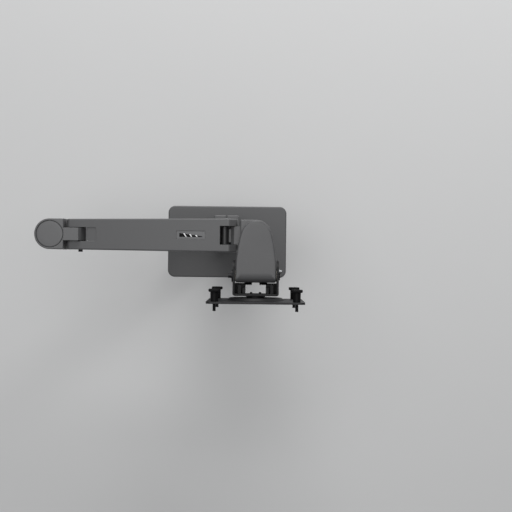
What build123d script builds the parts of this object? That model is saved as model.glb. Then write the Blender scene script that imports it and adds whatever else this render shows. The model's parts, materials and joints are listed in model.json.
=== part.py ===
"""Folding desk arm for a monitor, modelled as separate named pieces.

Millimetres.  +Z is up and the desk surface is z = 0 under the post axis.
The screen plate faces -Y.  The lower arm points to -X and the upper arm
is folded back over it.
"""

import math
import os

from build123d import *

os.makedirs("parts", exist_ok=True)

# base and desk clamp
PAD_THICK = 2.0
PLATE_LONG = 171.0
PLATE_DEEP = 103.0
PLATE_CORNER = 10.0
PLATE_Y = -6.0
PLATE_BOTTOM = PAD_THICK
PLATE_TOP = 10.0
DESK_EDGE_Y = 42.0
PLATE_REAR_Y = PLATE_Y + PLATE_DEEP / 2
BRACKET_HALF = 30.0
BRACKET_THICK = PLATE_REAR_Y - DESK_EDGE_Y
BRACKET_TAB_Y = 18.0
BRACKET_BOTTOM = -76.0
BRACKET_FRONT_Y = -12.0
SPINDLE_Y = 5.0
SPINDLE_R = 5.0
SPINDLE_FIT = 0.1
BOSS_R = 10.0
BOSS_TOP = -70.0
BOSS_BOTTOM = -84.0
FOOT_R = 25.0
FOOT_FACE = -30.0
FOOT_RUBBER = 2.0
FOOT_BOTTOM = -38.0
SOCKET_R = 4.1
SOCKET_DEEP = 4.0
KNOB_R = 23.0
KNOB_TOP = -106.0
KNOB_BOTTOM = -128.0
KNOB_LOBES = 6

# post and collar
POST_R = 16.0
POST_BORE_R = 13.0
POST_TOP = 89.0
POST_PLUG_TOP = 24.0
POST_SCREW_R = 2.5
POST_SCREW_CIRCLE = 10.0
POST_HEAD_R = 4.8
POST_CAP_R = 19.0
COLLAR_BOTTOM = 29.0
COLLAR_TOP = 48.7
COLLAR_R = 22.0
LUG_HALF = 17.5
LUG_REAR_Y = 31.0
COLLAR_SPLIT = 2.5
COLLAR_SCREW_R = 3.0
COLLAR_SCREW_Y = 24.5

# lower arm
LOWER_BOTTOM = 50.0
LOWER_TOP = 88.0
POST_HUB_R = 20.5
POST_BUSH_R = 18.0
ELBOW_X = -227.0
ELBOW_HUB_R = 20.0
ELBOW_BUSH_R = 13.5
BAR_HALF = 17.0
BAR_BOTTOM = 52.0
BAR_TOP = 86.0
CHANNEL_HALF = 12.5
BUSH_FLANGE = 1.0
BUSH_LONG = 13.0
RUN_FIT = 0.06
CABLE_EXIT = 43.0
CLIP_XS = (-150.0, -85.0)
CLIP_LONG = 12.0
CLIP_BOTTOM = 36.0

# elbow
SHAFT_R = 11.0
SHAFT_TOP = 112.0
KNUCKLE_BOTTOM = 89.4
KNUCKLE_TOP = 168.0
KNUCKLE_R = 20.0
KNUCKLE_FLAT = 18.0
KNUCKLE_CHEEK_Z = 104.0
ELBOW_CAP_R = 17.5
ELBOW_CAP_DEEP = 3.0
TONGUE_HALF = 8.25
TONGUE_NOSE = 9.0

# upper arm
ARM_RISE = 9.0
PIVOT_A_X = -189.5
PIVOT_A_Z = 148.0
SPAN = 193.4
LINK_DROP = 18.0
ARM_HALF = 20.0
ARM_HALF_HEAD = 21.6
ARM_TOP = 14.0
ARM_BOTTOM = -26.0
ARM_ROOF = 3.5
ARM_WALL = 4.0
ARM_LEFT = -15.5
ARM_RIGHT = SPAN + 16.5
CHEEK_FLOOR = -8.0
LEFT_SLOT_HALF = 9.15
LEFT_SLOT_END = 11.6
RIGHT_SLOT_HALF = 12.0
RIGHT_SLOT_START = SPAN - 4.0
PIN_R = 4.0
PIN_TIP_R = 2.8
LINK_PIN_R = 3.0
LINK_PIN_HALF = 12.8
LINK_INNER = 9.2
LINK_THICK = 3.0
LINK_HALF_HIGH = 5.0
OPEN_PIVOT_FIT = 0.15
GAUGE_S = 151.4
GAUGE_LONG = 38.0
GAUGE_WIDE = 10.7
GAUGE_DEEP = 0.8
WEDGE_LONG = 30.0
WEDGE_THICK_END = 5.0
WEDGE_THIN_END = 1.0
SPRING_PIN_S = 128.0
SPRING_PIN_Z = -3.0
CYLINDER_R = 8.0
ROD_R = 3.0
TENSION_S = 149.0
TENSION_R = 3.0
COVER_START = 24.0
COVER_END = 160.0

# head
PAN_X = 42.0
BARREL_R = 5.0
BARREL_HALF = 11.6
HEAD_FLAT = 20.0
HEAD_BOSS_R = 20.0
HEAD_BOSS_BOTTOM = 152.0
HEAD_BOSS_TOP = 200.0
HEAD_CHEEK_Z = 180.0
PAN_SHAFT_R = 7.0
PAN_SHAFT_TOP = 224.0
HUB_R = 14.6
CORE_BOTTOM = 201.2
CORE_TOP = 218.0
COVER_BOTTOM_Z = 203.0
COVER_TOP_Z = 229.0
COVER_WALL = 2.0
COVER_FRONT_Y = -59.3
COVER_FRONT_ROUND = 6.0
COVER_LIP_Z = 225.3
NOTCH_R = 8.0
COVER_HALF = 25.3
COVER_REAR_Y = 18.3
COVER_STRAIGHT_Y = -40.0
COVER_SIDE = (
    (0.0, 18.3), (9.5, 15.6), (17.4, 6.3), (21.6, -9.0), (24.2, -26.0), (25.3, -40.0),
)
TILT_Y = -51.0
TILT_Z = 215.0
TILT_BOLT_R = 2.95
TILT_BARREL_R = 8.0
CORE_EAR_INNER = 16.6
CORE_EAR_OUTER = 21.8
SPRING_WIRE_R = 1.15
SPRING_R = 10.5
SPRING_START = 4.6
SPRING_LONG = 10.2
SPRING_PITCH = 2.45

# yoke and screen plate
YOKE_OUTER = 28.8
YOKE_THICK = 2.6
YOKE_FRONT_Y = TILT_Y - 24.9
YOKE_EAR_BACK = 19.5
YOKE_EAR_HALF = 14.0
YOKE_BASE_HALF = 16.0
YOKE_WEB_THICK = 2.6
YOKE_WEB_BACK = 9.5
STUB_HALF_HIGH = 4.5
SPACER_THICK = 2.4
DISC_R = 36.0
DISC_THICK = 3.3
PIVOT_STUD_R = 6.0
PIVOT_FLANGE_R = 10.0
PIVOT_FLANGE_THICK = 1.2
SCREEN_PLATE = 120.0
SCREEN_THICK = 2.5
SCREEN_CORNER = 6.0
SCREW_PITCH = 100.0
HOLE_PITCH = 75.0
HOLE_R = 2.2
STUD_R = 2.0
SHOULDER_R = 2.5
STUD_LONG = 9.0
THUMB_BODY_R = 4.75
THUMB_BODY_LONG = 11.6
THUMB_HEAD_R = 7.15
THUMB_HEAD_LONG = 3.7

GREY = Color(0.24, 0.24, 0.25)
DARK = Color(0.09, 0.09, 0.10)
BLACK = Color(0.03, 0.03, 0.03)
STEEL = Color(0.62, 0.63, 0.65)
RUBBER = Color(0.06, 0.06, 0.06)
WHITE = Color(0.85, 0.85, 0.83)
NYLON = Color(0.80, 0.79, 0.74)
BRASS = Color(0.70, 0.58, 0.32)

BOTTOM_ALIGNED = (Align.CENTER, Align.CENTER, Align.MIN)


def block(x0, x1, y0, y1, z0, z1):
    """Box between two corners."""
    return Pos((x0 + x1) / 2, (y0 + y1) / 2, (z0 + z1) / 2) * Box(x1 - x0, y1 - y0, z1 - z0)


def rod_x(x0, x1, y, z, r):
    """Cylinder along X."""
    return Pos((x0 + x1) / 2, y, z) * Rot(0, 90, 0) * Cylinder(r, x1 - x0)


def rod_y(x, y0, y1, z, r):
    """Cylinder along Y."""
    return Pos(x, (y0 + y1) / 2, z) * Rot(90, 0, 0) * Cylinder(r, y1 - y0)


def rod_z(x, y, z0, z1, r):
    """Cylinder along Z."""
    return Pos(x, y, (z0 + z1) / 2) * Cylinder(r, z1 - z0)


def tube_z(x, y, z0, z1, r_out, r_in):
    """Tube along Z."""
    return rod_z(x, y, z0, z1, r_out) - rod_z(x, y, z0 - 1, z1 + 1, r_in)


def cone_z(x, y, z0, z1, r_low, r_high):
    """Cone along Z."""
    return Pos(x, y, z0) * Cone(r_low, r_high, z1 - z0, align=BOTTOM_ALIGNED)


def slab_z(x, y, z0, z1, long, wide, corner):
    """Flat plate with rounded corners, thickness along Z."""
    return Pos(x, y, z0) * extrude(RectangleRounded(long, wide, corner), z1 - z0)


def side_shape(points, half):
    """Outline in X and Z, carried to both sides of Y = 0."""
    outline = make_face(Polyline(*points, close=True))
    return extrude(Plane.XZ * outline, half, both=True)


def socket_z(x, y, z_open, deep, across, up):
    """Hexagonal key socket along Z, opening up or down."""
    cutter = extrude(RegularPolygon(across / 2, 6, major_radius=False), deep)
    shift = z_open - deep if up else z_open
    return Pos(x, y, shift) * cutter


def top_edges(shape, height):
    """Edges that lie in the plane z = height."""
    return shape.edges().filter_by_position(Axis.Z, height - 0.01, height + 0.01)


def save(name, shape, colour):
    """Write one piece."""
    if isinstance(shape, (list, tuple)):
        shape = Compound(children=list(shape))
    shape.label = name
    shape.color = colour
    export_step(shape, f"parts/{name}.step")


ARM = Pos(PIVOT_A_X, 0, PIVOT_A_Z) * Rot(0, -ARM_RISE, 0)
RISE = math.radians(ARM_RISE)
PIVOT_B_X = PIVOT_A_X + SPAN * math.cos(RISE)
PIVOT_B_Z = PIVOT_A_Z + SPAN * math.sin(RISE)
LINK_A_Z = PIVOT_A_Z - LINK_DROP
LINK_B_Z = PIVOT_B_Z - LINK_DROP

# ---------------------------------------------------------------- base
screw_spots = [
    (POST_SCREW_CIRCLE * math.cos(math.radians(45 + 90 * k)),
     POST_SCREW_CIRCLE * math.sin(math.radians(45 + 90 * k)))
    for k in range(4)
]
tab_spots = [(-18.0, 24.0), (18.0, 24.0), (-18.0, 36.0), (18.0, 36.0)]
TAB_SCREW_R = 2.0
TAB_HEAD_R = 3.8
TAB_SCREW_TOP = 8.5

pad = slab_z(0, PLATE_Y - 1.5, 0, PAD_THICK, PLATE_LONG - 4, PLATE_DEEP - 7, PLATE_CORNER - 2)
save("base_pad", pad, RUBBER)

plate = slab_z(0, PLATE_Y, PLATE_BOTTOM, PLATE_TOP, PLATE_LONG, PLATE_DEEP, PLATE_CORNER)
plate = fillet(top_edges(plate, PLATE_TOP), 2.0)
plate -= block(-BRACKET_HALF, BRACKET_HALF, BRACKET_TAB_Y, PLATE_REAR_Y + 1,
               PLATE_BOTTOM - 1, PLATE_BOTTOM + BRACKET_THICK)
for sx, sy in screw_spots:
    plate -= rod_z(sx, sy, PLATE_BOTTOM - 1, PLATE_TOP + 1, POST_SCREW_R)
    plate -= cone_z(sx, sy, PLATE_BOTTOM, PLATE_BOTTOM + 2.4, POST_HEAD_R, POST_SCREW_R)
for sx, sy in tab_spots:
    plate -= rod_z(sx, sy, PLATE_BOTTOM, TAB_SCREW_TOP, TAB_SCREW_R)
save("base_plate", plate, GREY)

post_screws = []
for sx, sy in screw_spots:
    screw = rod_z(sx, sy, PLATE_BOTTOM + 2.4, POST_PLUG_TOP - 4, POST_SCREW_R)
    screw += cone_z(sx, sy, PLATE_BOTTOM, PLATE_BOTTOM + 2.4, POST_HEAD_R, POST_SCREW_R)
    screw -= socket_z(sx, sy, PLATE_BOTTOM, 1.6, 3.0, False)
    post_screws.append(screw)
save("post_screws", post_screws, STEEL)

# ---------------------------------------------------------------- desk clamp
tab_top = PLATE_BOTTOM + BRACKET_THICK
bracket = block(-BRACKET_HALF, BRACKET_HALF, BRACKET_TAB_Y, PLATE_REAR_Y, PLATE_BOTTOM, tab_top)
bracket += block(-BRACKET_HALF, BRACKET_HALF, DESK_EDGE_Y, PLATE_REAR_Y, BRACKET_BOTTOM, tab_top)
bracket += block(-BRACKET_HALF, BRACKET_HALF, BRACKET_FRONT_Y, PLATE_REAR_Y,
                 BRACKET_BOTTOM, BRACKET_BOTTOM + BRACKET_THICK)
bracket += rod_z(0, SPINDLE_Y, BOSS_BOTTOM, BOSS_TOP, BOSS_R)
inside_z = BRACKET_BOTTOM + BRACKET_THICK
for sx in (-20.0, 20.0):
    gusset = Polyline((DESK_EDGE_Y, inside_z), (DESK_EDGE_Y, inside_z + 18),
                      (DESK_EDGE_Y - 17, inside_z), close=True)
    bracket += Pos(sx, 0, 0) * extrude(Plane.YZ * make_face(gusset), 2.0, both=True)
bracket -= rod_z(0, SPINDLE_Y, BOSS_BOTTOM - 1, BOSS_TOP + 1, SPINDLE_R + SPINDLE_FIT)
for sx, sy in tab_spots:
    bracket -= rod_z(sx, sy, PLATE_BOTTOM - 1, tab_top + 1, TAB_SCREW_R)
    bracket -= cone_z(sx, sy, PLATE_BOTTOM, PLATE_BOTTOM + 1.8, TAB_HEAD_R, TAB_SCREW_R)
front_corners = bracket.edges().filter_by(Axis.Z).filter_by_position(
    Axis.Y, BRACKET_FRONT_Y - 0.1, BRACKET_FRONT_Y + 0.1)
bracket = fillet(front_corners, 12.0)
save("clamp_bracket", bracket, GREY)

bracket_screws = []
for sx, sy in tab_spots:
    screw = rod_z(sx, sy, PLATE_BOTTOM + 1.8, TAB_SCREW_TOP, TAB_SCREW_R)
    screw += cone_z(sx, sy, PLATE_BOTTOM, PLATE_BOTTOM + 1.8, TAB_HEAD_R, TAB_SCREW_R)
    screw -= socket_z(sx, sy, PLATE_BOTTOM, 1.2, 2.5, False)
    bracket_screws.append(screw)
save("bracket_screws", bracket_screws, STEEL)

foot_top = FOOT_FACE - FOOT_RUBBER
foot = rod_z(0, SPINDLE_Y, FOOT_BOTTOM + 4, foot_top, FOOT_R)
foot = chamfer(top_edges(foot, FOOT_BOTTOM + 4), 1.0)
foot += rod_z(0, SPINDLE_Y, FOOT_BOTTOM, FOOT_BOTTOM + 5, SOCKET_R + 4)
foot -= rod_z(0, SPINDLE_Y, FOOT_BOTTOM - 1, FOOT_BOTTOM + SOCKET_DEEP, SOCKET_R)
save("clamp_foot", foot, DARK)
save("clamp_foot_rubber", rod_z(0, SPINDLE_Y, foot_top, FOOT_FACE, FOOT_R - 1), RUBBER)

spindle = rod_z(0, SPINDLE_Y, KNOB_BOTTOM + 6, FOOT_BOTTOM - 0.4, SPINDLE_R)
spindle += rod_z(0, SPINDLE_Y, FOOT_BOTTOM - 0.5, FOOT_BOTTOM + SOCKET_DEEP - 0.3, SOCKET_R - SPINDLE_FIT)
save("clamp_spindle", spindle, STEEL)

knob = rod_z(0, SPINDLE_Y, KNOB_BOTTOM, KNOB_TOP - 5, KNOB_R)
for k in range(KNOB_LOBES):
    turn = math.radians(360 * k / KNOB_LOBES)
    hollow_x = (KNOB_R + 5) * math.cos(turn)
    hollow_y = SPINDLE_Y + (KNOB_R + 5) * math.sin(turn)
    knob -= rod_z(hollow_x, hollow_y, KNOB_BOTTOM - 1, KNOB_TOP, 9.0)
knob += rod_z(0, SPINDLE_Y, KNOB_TOP - 6, KNOB_TOP, 9.0)
knob -= rod_z(0, SPINDLE_Y, KNOB_BOTTOM + 6, KNOB_TOP + 1, SPINDLE_R)
knob = chamfer(top_edges(knob, KNOB_BOTTOM), 1.5)
save("clamp_knob", knob, BLACK)

# ---------------------------------------------------------------- post
post = rod_z(0, 0, PLATE_TOP, POST_TOP, POST_R) - rod_z(0, 0, POST_PLUG_TOP, POST_TOP + 1, POST_BORE_R)
for sx, sy in screw_spots:
    post -= rod_z(sx, sy, PLATE_TOP - 1, POST_PLUG_TOP - 4, POST_SCREW_R)
save("post", post, DARK)

cap = rod_z(0, 0, POST_TOP + 0.3, POST_TOP + 3.5, POST_CAP_R)
cap = fillet(top_edges(cap, POST_TOP + 3.5), 1.5)
cap += tube_z(0, 0, POST_TOP - 10, POST_TOP + 1, POST_BORE_R - 0.05, POST_BORE_R - 2)
cap += rod_z(0, 0, POST_TOP, POST_TOP + 1, POST_BORE_R)
save("post_cap", cap, BLACK)

collar = rod_z(0, 0, COLLAR_BOTTOM, COLLAR_TOP, COLLAR_R)
collar += block(-LUG_HALF, LUG_HALF, 0, LUG_REAR_Y, COLLAR_BOTTOM, COLLAR_TOP)
rear_uprights = collar.edges().filter_by(Axis.Z).filter_by_position(Axis.Y, LUG_REAR_Y - 0.1, LUG_REAR_Y + 0.1)
collar = fillet(rear_uprights, 2.0)
collar = chamfer(top_edges(collar, COLLAR_TOP), 1.0)
collar -= rod_z(0, 0, COLLAR_BOTTOM - 1, COLLAR_TOP + 1, POST_R)
collar -= block(-COLLAR_SPLIT / 2, COLLAR_SPLIT / 2, 0, LUG_REAR_Y + 1, COLLAR_BOTTOM - 1, COLLAR_TOP + 1)
collar_z = (COLLAR_BOTTOM + COLLAR_TOP) / 2
collar -= rod_x(-LUG_HALF - 1, LUG_HALF + 1, COLLAR_SCREW_Y, collar_z, COLLAR_SCREW_R)
collar -= rod_x(LUG_HALF - 6, LUG_HALF + 1, COLLAR_SCREW_Y, collar_z, 5.2)
save("post_collar", collar, GREY)

collar_screw = rod_x(-LUG_HALF + 1, LUG_HALF - 6, COLLAR_SCREW_Y, collar_z, COLLAR_SCREW_R)
collar_screw += rod_x(LUG_HALF - 6, LUG_HALF, COLLAR_SCREW_Y, collar_z, 5.0)
key = extrude(RegularPolygon(2.5, 6, major_radius=False), 3.5)
collar_screw -= Pos(LUG_HALF - 3.5, COLLAR_SCREW_Y, collar_z) * Rot(0, 90, 0) * key
save("collar_screw", collar_screw, STEEL)

# ---------------------------------------------------------------- lower arm
arm = rod_z(0, 0, LOWER_BOTTOM, LOWER_TOP, POST_HUB_R)
arm += rod_z(ELBOW_X, 0, LOWER_BOTTOM, LOWER_TOP, ELBOW_HUB_R)
arm += block(ELBOW_X, 0, -BAR_HALF, BAR_HALF, BAR_BOTTOM, BAR_TOP)
long_edges = arm.edges().filter_by(Axis.X).filter_by_position(Axis.Z, BAR_BOTTOM - 0.1, BAR_TOP + 0.1)
arm = fillet(long_edges, 4.0)
arm -= block(ELBOW_X + 25, -25, -CHANNEL_HALF, CHANNEL_HALF, BAR_BOTTOM - 1, BAR_TOP - 5)
arm -= rod_z(0, 0, LOWER_BOTTOM - 1, LOWER_TOP + 1, POST_BUSH_R)
arm -= rod_z(ELBOW_X, 0, LOWER_BOTTOM - 1, LOWER_TOP + 1, ELBOW_BUSH_R)
save("lower_arm", arm, GREY)

for name, x, r_in, r_out, r_flange in (
    ("post_bushes", 0.0, POST_R + RUN_FIT, POST_BUSH_R, POST_HUB_R - 1),
    ("elbow_bushes", ELBOW_X, SHAFT_R + RUN_FIT, ELBOW_BUSH_R, ELBOW_HUB_R - 2),
):
    low = rod_z(x, 0, LOWER_BOTTOM - BUSH_FLANGE, LOWER_BOTTOM + BUSH_LONG, r_out)
    low += rod_z(x, 0, LOWER_BOTTOM - BUSH_FLANGE, LOWER_BOTTOM, r_flange)
    low -= rod_z(x, 0, LOWER_BOTTOM - 3, LOWER_BOTTOM + BUSH_LONG + 1, r_in)
    high = rod_z(x, 0, LOWER_TOP - BUSH_LONG, LOWER_TOP + BUSH_FLANGE, r_out)
    high += rod_z(x, 0, LOWER_TOP, LOWER_TOP + BUSH_FLANGE, r_flange)
    high -= rod_z(x, 0, LOWER_TOP - BUSH_LONG - 1, LOWER_TOP + 3, r_in)
    save(name, [low, high], NYLON)

cover = block(ELBOW_X + CABLE_EXIT, -CABLE_EXIT, -CHANNEL_HALF + 0.2, CHANNEL_HALF - 0.2, BAR_BOTTOM, BAR_BOTTOM + 2)
for x in (-172.0, -126.0, -56.0):
    for side in (-1, 1):
        rib = block(x - 6, x + 6, CHANNEL_HALF - 2.2, CHANNEL_HALF - 0.2, BAR_BOTTOM + 1, BAR_BOTTOM + 9)
        cover += rib if side > 0 else mirror(rib, Plane.XZ)
save("cable_cover", cover, DARK)

clips = []
for x in CLIP_XS:
    clip_high = BAR_BOTTOM - CLIP_BOTTOM
    ring = RectangleRounded(26.0, clip_high, 4.0) - RectangleRounded(21.0, clip_high - 5, 2.5)
    ring -= Pos(0, -clip_high / 2) * Rectangle(6.0, 8.0)
    clip = extrude(Plane.YZ * ring, CLIP_LONG)
    clips.append(Pos(x - CLIP_LONG / 2, 0, (BAR_BOTTOM + CLIP_BOTTOM) / 2) * clip)
save("cable_clips", clips, BLACK)

# ---------------------------------------------------------------- elbow
washer_z = LOWER_BOTTOM - BUSH_FLANGE - 0.25
shaft = rod_z(ELBOW_X, 0, washer_z, SHAFT_TOP, SHAFT_R)
shaft -= rod_z(ELBOW_X, 0, washer_z - 1, washer_z + 18, 4.0)
save("elbow_shaft", shaft, STEEL)
save("elbow_washer", tube_z(ELBOW_X, 0, washer_z - 2.5, washer_z, 17.0, 4.0), STEEL)
bolt = rod_z(ELBOW_X, 0, washer_z - 2.5, washer_z + 17, 4.0)
bolt += rod_z(ELBOW_X, 0, washer_z - 8.5, washer_z - 2.5, 6.5)
bolt -= socket_z(ELBOW_X, 0, washer_z - 8.5, 4.0, 6.0, False)
save("elbow_bolt", bolt, STEEL)

knuckle = rod_z(ELBOW_X, 0, KNUCKLE_BOTTOM, KNUCKLE_TOP, KNUCKLE_R)
knuckle += block(ELBOW_X, ELBOW_X + KNUCKLE_FLAT, -KNUCKLE_R, KNUCKLE_R, KNUCKLE_CHEEK_Z, KNUCKLE_TOP)
knuckle -= block(ELBOW_X + KNUCKLE_FLAT, ELBOW_X + 40, -30, 30, KNUCKLE_BOTTOM - 1, KNUCKLE_TOP + 1)
knuckle = fillet(top_edges(knuckle, KNUCKLE_TOP), 1.2)
ridge_x = ELBOW_X + KNUCKLE_FLAT - 5
ridge_z = KNUCKLE_TOP - 0.6
ridge = [
    (ridge_x, ridge_z), (PIVOT_A_X - 0.2, ridge_z), (PIVOT_A_X + 4.5, PIVOT_A_Z + 10.5),
    (PIVOT_A_X + 7.6, PIVOT_A_Z + 4.8), (PIVOT_A_X, PIVOT_A_Z), (ridge_x, PIVOT_A_Z),
]
tongue = block(ELBOW_X + KNUCKLE_FLAT - 5, PIVOT_A_X, -TONGUE_HALF, TONGUE_HALF,
               LINK_A_Z - TONGUE_NOSE, PIVOT_A_Z + TONGUE_NOSE)
tongue += block(PIVOT_A_X - 1, PIVOT_A_X + TONGUE_NOSE, -TONGUE_HALF, TONGUE_HALF, LINK_A_Z, PIVOT_A_Z)
tongue += rod_y(PIVOT_A_X, -TONGUE_HALF, TONGUE_HALF, PIVOT_A_Z, TONGUE_NOSE)
tongue += rod_y(PIVOT_A_X, -TONGUE_HALF, TONGUE_HALF, LINK_A_Z, TONGUE_NOSE)
tongue += side_shape(ridge, TONGUE_HALF)
knuckle += tongue
knuckle -= rod_z(ELBOW_X, 0, KNUCKLE_TOP - ELBOW_CAP_DEEP, KNUCKLE_TOP + 1, ELBOW_CAP_R + 0.4)
knuckle -= rod_z(ELBOW_X, 0, SHAFT_TOP + 3, KNUCKLE_TOP, 14.5)
knuckle -= rod_z(ELBOW_X, 0, KNUCKLE_BOTTOM - 1, SHAFT_TOP, SHAFT_R)
knuckle -= rod_y(PIVOT_A_X, -20, 20, PIVOT_A_Z, PIN_R + RUN_FIT)
knuckle -= rod_y(PIVOT_A_X, -20, 20, LINK_A_Z, LINK_PIN_R)
rod_slot = [
    (PIVOT_A_X - 9, LINK_A_Z - 20), (PIVOT_A_X - 9, LINK_A_Z + 9), (PIVOT_A_X + 3.5, LINK_A_Z + 9),
    (PIVOT_A_X + 12, LINK_A_Z + 16), (PIVOT_A_X + 20, LINK_A_Z + 16), (PIVOT_A_X + 20, LINK_A_Z - 20),
]
knuckle -= side_shape(rod_slot, 4.2)
save("elbow_knuckle", knuckle, GREY)

elbow_cap = rod_z(ELBOW_X, 0, KNUCKLE_TOP - ELBOW_CAP_DEEP, KNUCKLE_TOP - 0.2, ELBOW_CAP_R)
elbow_cap = fillet(top_edges(elbow_cap, KNUCKLE_TOP - 0.2), 0.8)
elbow_cap += tube_z(ELBOW_X, 0, KNUCKLE_TOP - 11, KNUCKLE_TOP - 2, 14.4, 12.4)
save("elbow_cap", elbow_cap, GREY)
save("link_pin_elbow", rod_y(PIVOT_A_X, -LINK_PIN_HALF, LINK_PIN_HALF, LINK_A_Z, LINK_PIN_R), STEEL)

# ---------------------------------------------------------------- upper arm shell
profile = [
    (ARM_LEFT, ARM_TOP), (ARM_LEFT, -18.0), (-6.0, ARM_BOTTOM), (SPAN, ARM_BOTTOM),
    (SPAN + 14, -12.0), (ARM_RIGHT, -2.0), (ARM_RIGHT, 5.0), (SPAN + 8, ARM_TOP),
]
shell = side_shape(profile, ARM_HALF_HEAD)
flank = make_face(Polyline(
    (ARM_LEFT, ARM_HALF), (ARM_RIGHT, ARM_HALF_HEAD), (ARM_RIGHT, ARM_HALF + 10), (ARM_LEFT, ARM_HALF + 10),
    close=True))
side_cut = extrude(flank, 60, both=True)
shell -= side_cut
shell -= mirror(side_cut, Plane.XZ)
across = shell.edges().filter_by(Axis.Y)
ends = across.filter_by_position(Axis.X, ARM_LEFT - 0.1, ARM_LEFT + 0.1)
ends += across.filter_by_position(Axis.X, SPAN + 7.0, ARM_RIGHT + 0.1)
shell = fillet(ends, 5.0)
roof_edges = [edge for edge in top_edges(shell, ARM_TOP) if edge.length > SPAN / 2]
shell = fillet(roof_edges, 1.8)
roof_under = ARM_TOP - ARM_ROOF
wall_in = ARM_HALF - ARM_WALL
shell -= block(ARM_LEFT - 1, ARM_RIGHT + 1, -wall_in, wall_in, ARM_BOTTOM - 1, CHEEK_FLOOR)
shell -= block(14.0, SPAN - 9, -wall_in, wall_in, CHEEK_FLOOR - 1, roof_under)
shell -= block(ARM_LEFT - 1, 15.0, -LEFT_SLOT_HALF, LEFT_SLOT_HALF, CHEEK_FLOOR - 1, roof_under)
shell -= block(ARM_LEFT - 1, LEFT_SLOT_END, -LEFT_SLOT_HALF, LEFT_SLOT_HALF, 0, ARM_TOP + 1)
shell -= block(SPAN - 10, ARM_RIGHT + 1, -RIGHT_SLOT_HALF, RIGHT_SLOT_HALF, CHEEK_FLOOR - 1, roof_under)
shell -= block(RIGHT_SLOT_START, ARM_RIGHT + 1, -RIGHT_SLOT_HALF, RIGHT_SLOT_HALF, 0, ARM_TOP + 1)
shell -= slab_z(19.0, 0, ARM_TOP - 1, ARM_TOP + 1, 13.0, 2 * LEFT_SLOT_HALF, 2.5)
shell -= slab_z(GAUGE_S, 0, ARM_TOP - GAUGE_DEEP, ARM_TOP + 1, GAUGE_LONG, GAUGE_WIDE, 1.5)
for s in (0.0, SPAN):
    shell -= rod_y(s, -30, 30, 0, PIN_R)
save("upper_arm_shell", ARM * shell, GREY)

for name, s, half, tip in (("pivot_pin_elbow", 0.0, 19.6, -23.0), ("pivot_pin_head", SPAN, 21.1, 0.0)):
    pin = rod_y(s, -half, half, 0, PIN_R)
    if tip < -20:
        pin += rod_y(s, tip, -19.0, 0, PIN_TIP_R)
    save(name, ARM * pin, BLACK)

arm_cover = block(COVER_START, COVER_END, -wall_in + 0.15, wall_in - 0.15, ARM_BOTTOM, ARM_BOTTOM + 1.8)
arm_cover -= rod_z(TENSION_S, 0, ARM_BOTTOM - 1, ARM_BOTTOM + 3, 5.5)
for s in (40.0, 92.0, COVER_END - 8):
    for side in (-1, 1):
        tab = block(s - 5, s + 5, wall_in - 2.0, wall_in - 0.15, ARM_BOTTOM + 1, ARM_BOTTOM + 6)
        arm_cover += tab if side > 0 else mirror(tab, Plane.XZ)
save("upper_arm_cover", ARM * arm_cover, DARK)

label = slab_z(GAUGE_S, 0, ARM_TOP - GAUGE_DEEP, ARM_TOP - 0.3, GAUGE_LONG - 0.4, GAUGE_WIDE - 0.4, 1.3)
save("gauge_label", ARM * label, WHITE)
low_edge = -WEDGE_THICK_END / 2
wedge_face = make_face(Polyline(
    (-WEDGE_LONG / 2, low_edge), (WEDGE_LONG / 2, low_edge),
    (WEDGE_LONG / 2, low_edge + WEDGE_THIN_END), (-WEDGE_LONG / 2, low_edge + WEDGE_THICK_END), close=True))
wedge = Pos(GAUGE_S, 0, ARM_TOP - 0.3) * extrude(wedge_face, 0.15)
for k in (-1, 0, 1):
    slash = Pos(GAUGE_S + k * WEDGE_LONG / 4, 0, ARM_TOP) * Rot(0, 0, 35) * Box(1.0, 12.0, 2.0)
    wedge -= slash
save("gauge_marks", ARM * wedge, BLACK)

# ---------------------------------------------------------------- lower link
link_frame = Pos(PIVOT_A_X, 0, LINK_A_Z) * Rot(0, -ARM_RISE, 0)
bar = block(0, SPAN, LINK_INNER, LINK_INNER + LINK_THICK, -LINK_HALF_HIGH, LINK_HALF_HIGH)
for s, fit in ((0.0, RUN_FIT), (SPAN, OPEN_PIVOT_FIT)):
    bar += rod_y(s, LINK_INNER, LINK_INNER + LINK_THICK, 0, LINK_HALF_HIGH)
bar -= rod_y(0.0, 0, 20, 0, LINK_PIN_R + RUN_FIT)
bar -= rod_y(SPAN, 0, 20, 0, LINK_PIN_R + OPEN_PIVOT_FIT)
link = bar + mirror(bar, Plane.XZ)
link += block(SPAN - 27, SPAN - 16, -LINK_INNER - 1, LINK_INNER + 1, -LINK_HALF_HIGH, -LINK_HALF_HIGH + 1.5)
save("lower_link", link_frame * link, DARK)

# ---------------------------------------------------------------- gas spring
link_a_s = -LINK_DROP * math.sin(RISE)
link_a_z = -LINK_DROP * math.cos(RISE)
spring_run = SPRING_PIN_S - link_a_s
spring_climb = SPRING_PIN_Z - link_a_z
SPRING_REACH = math.hypot(spring_run, spring_climb)
SPRING_ANGLE = math.degrees(math.atan2(spring_climb, spring_run))
spring_frame = ARM * Pos(link_a_s, 0, link_a_z) * Rot(0, -SPRING_ANGLE, 0)

rod_end = rod_y(0, -3.7, 3.7, 0, 6.5) + rod_x(4, 14, 0, 0, 3.7)
rod_end -= rod_y(0, -5, 5, 0, LINK_PIN_R + RUN_FIT)
save("gas_spring_rod", spring_frame * (rod_end + rod_x(10, 78, 0, 0, ROD_R)), STEEL)

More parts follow.
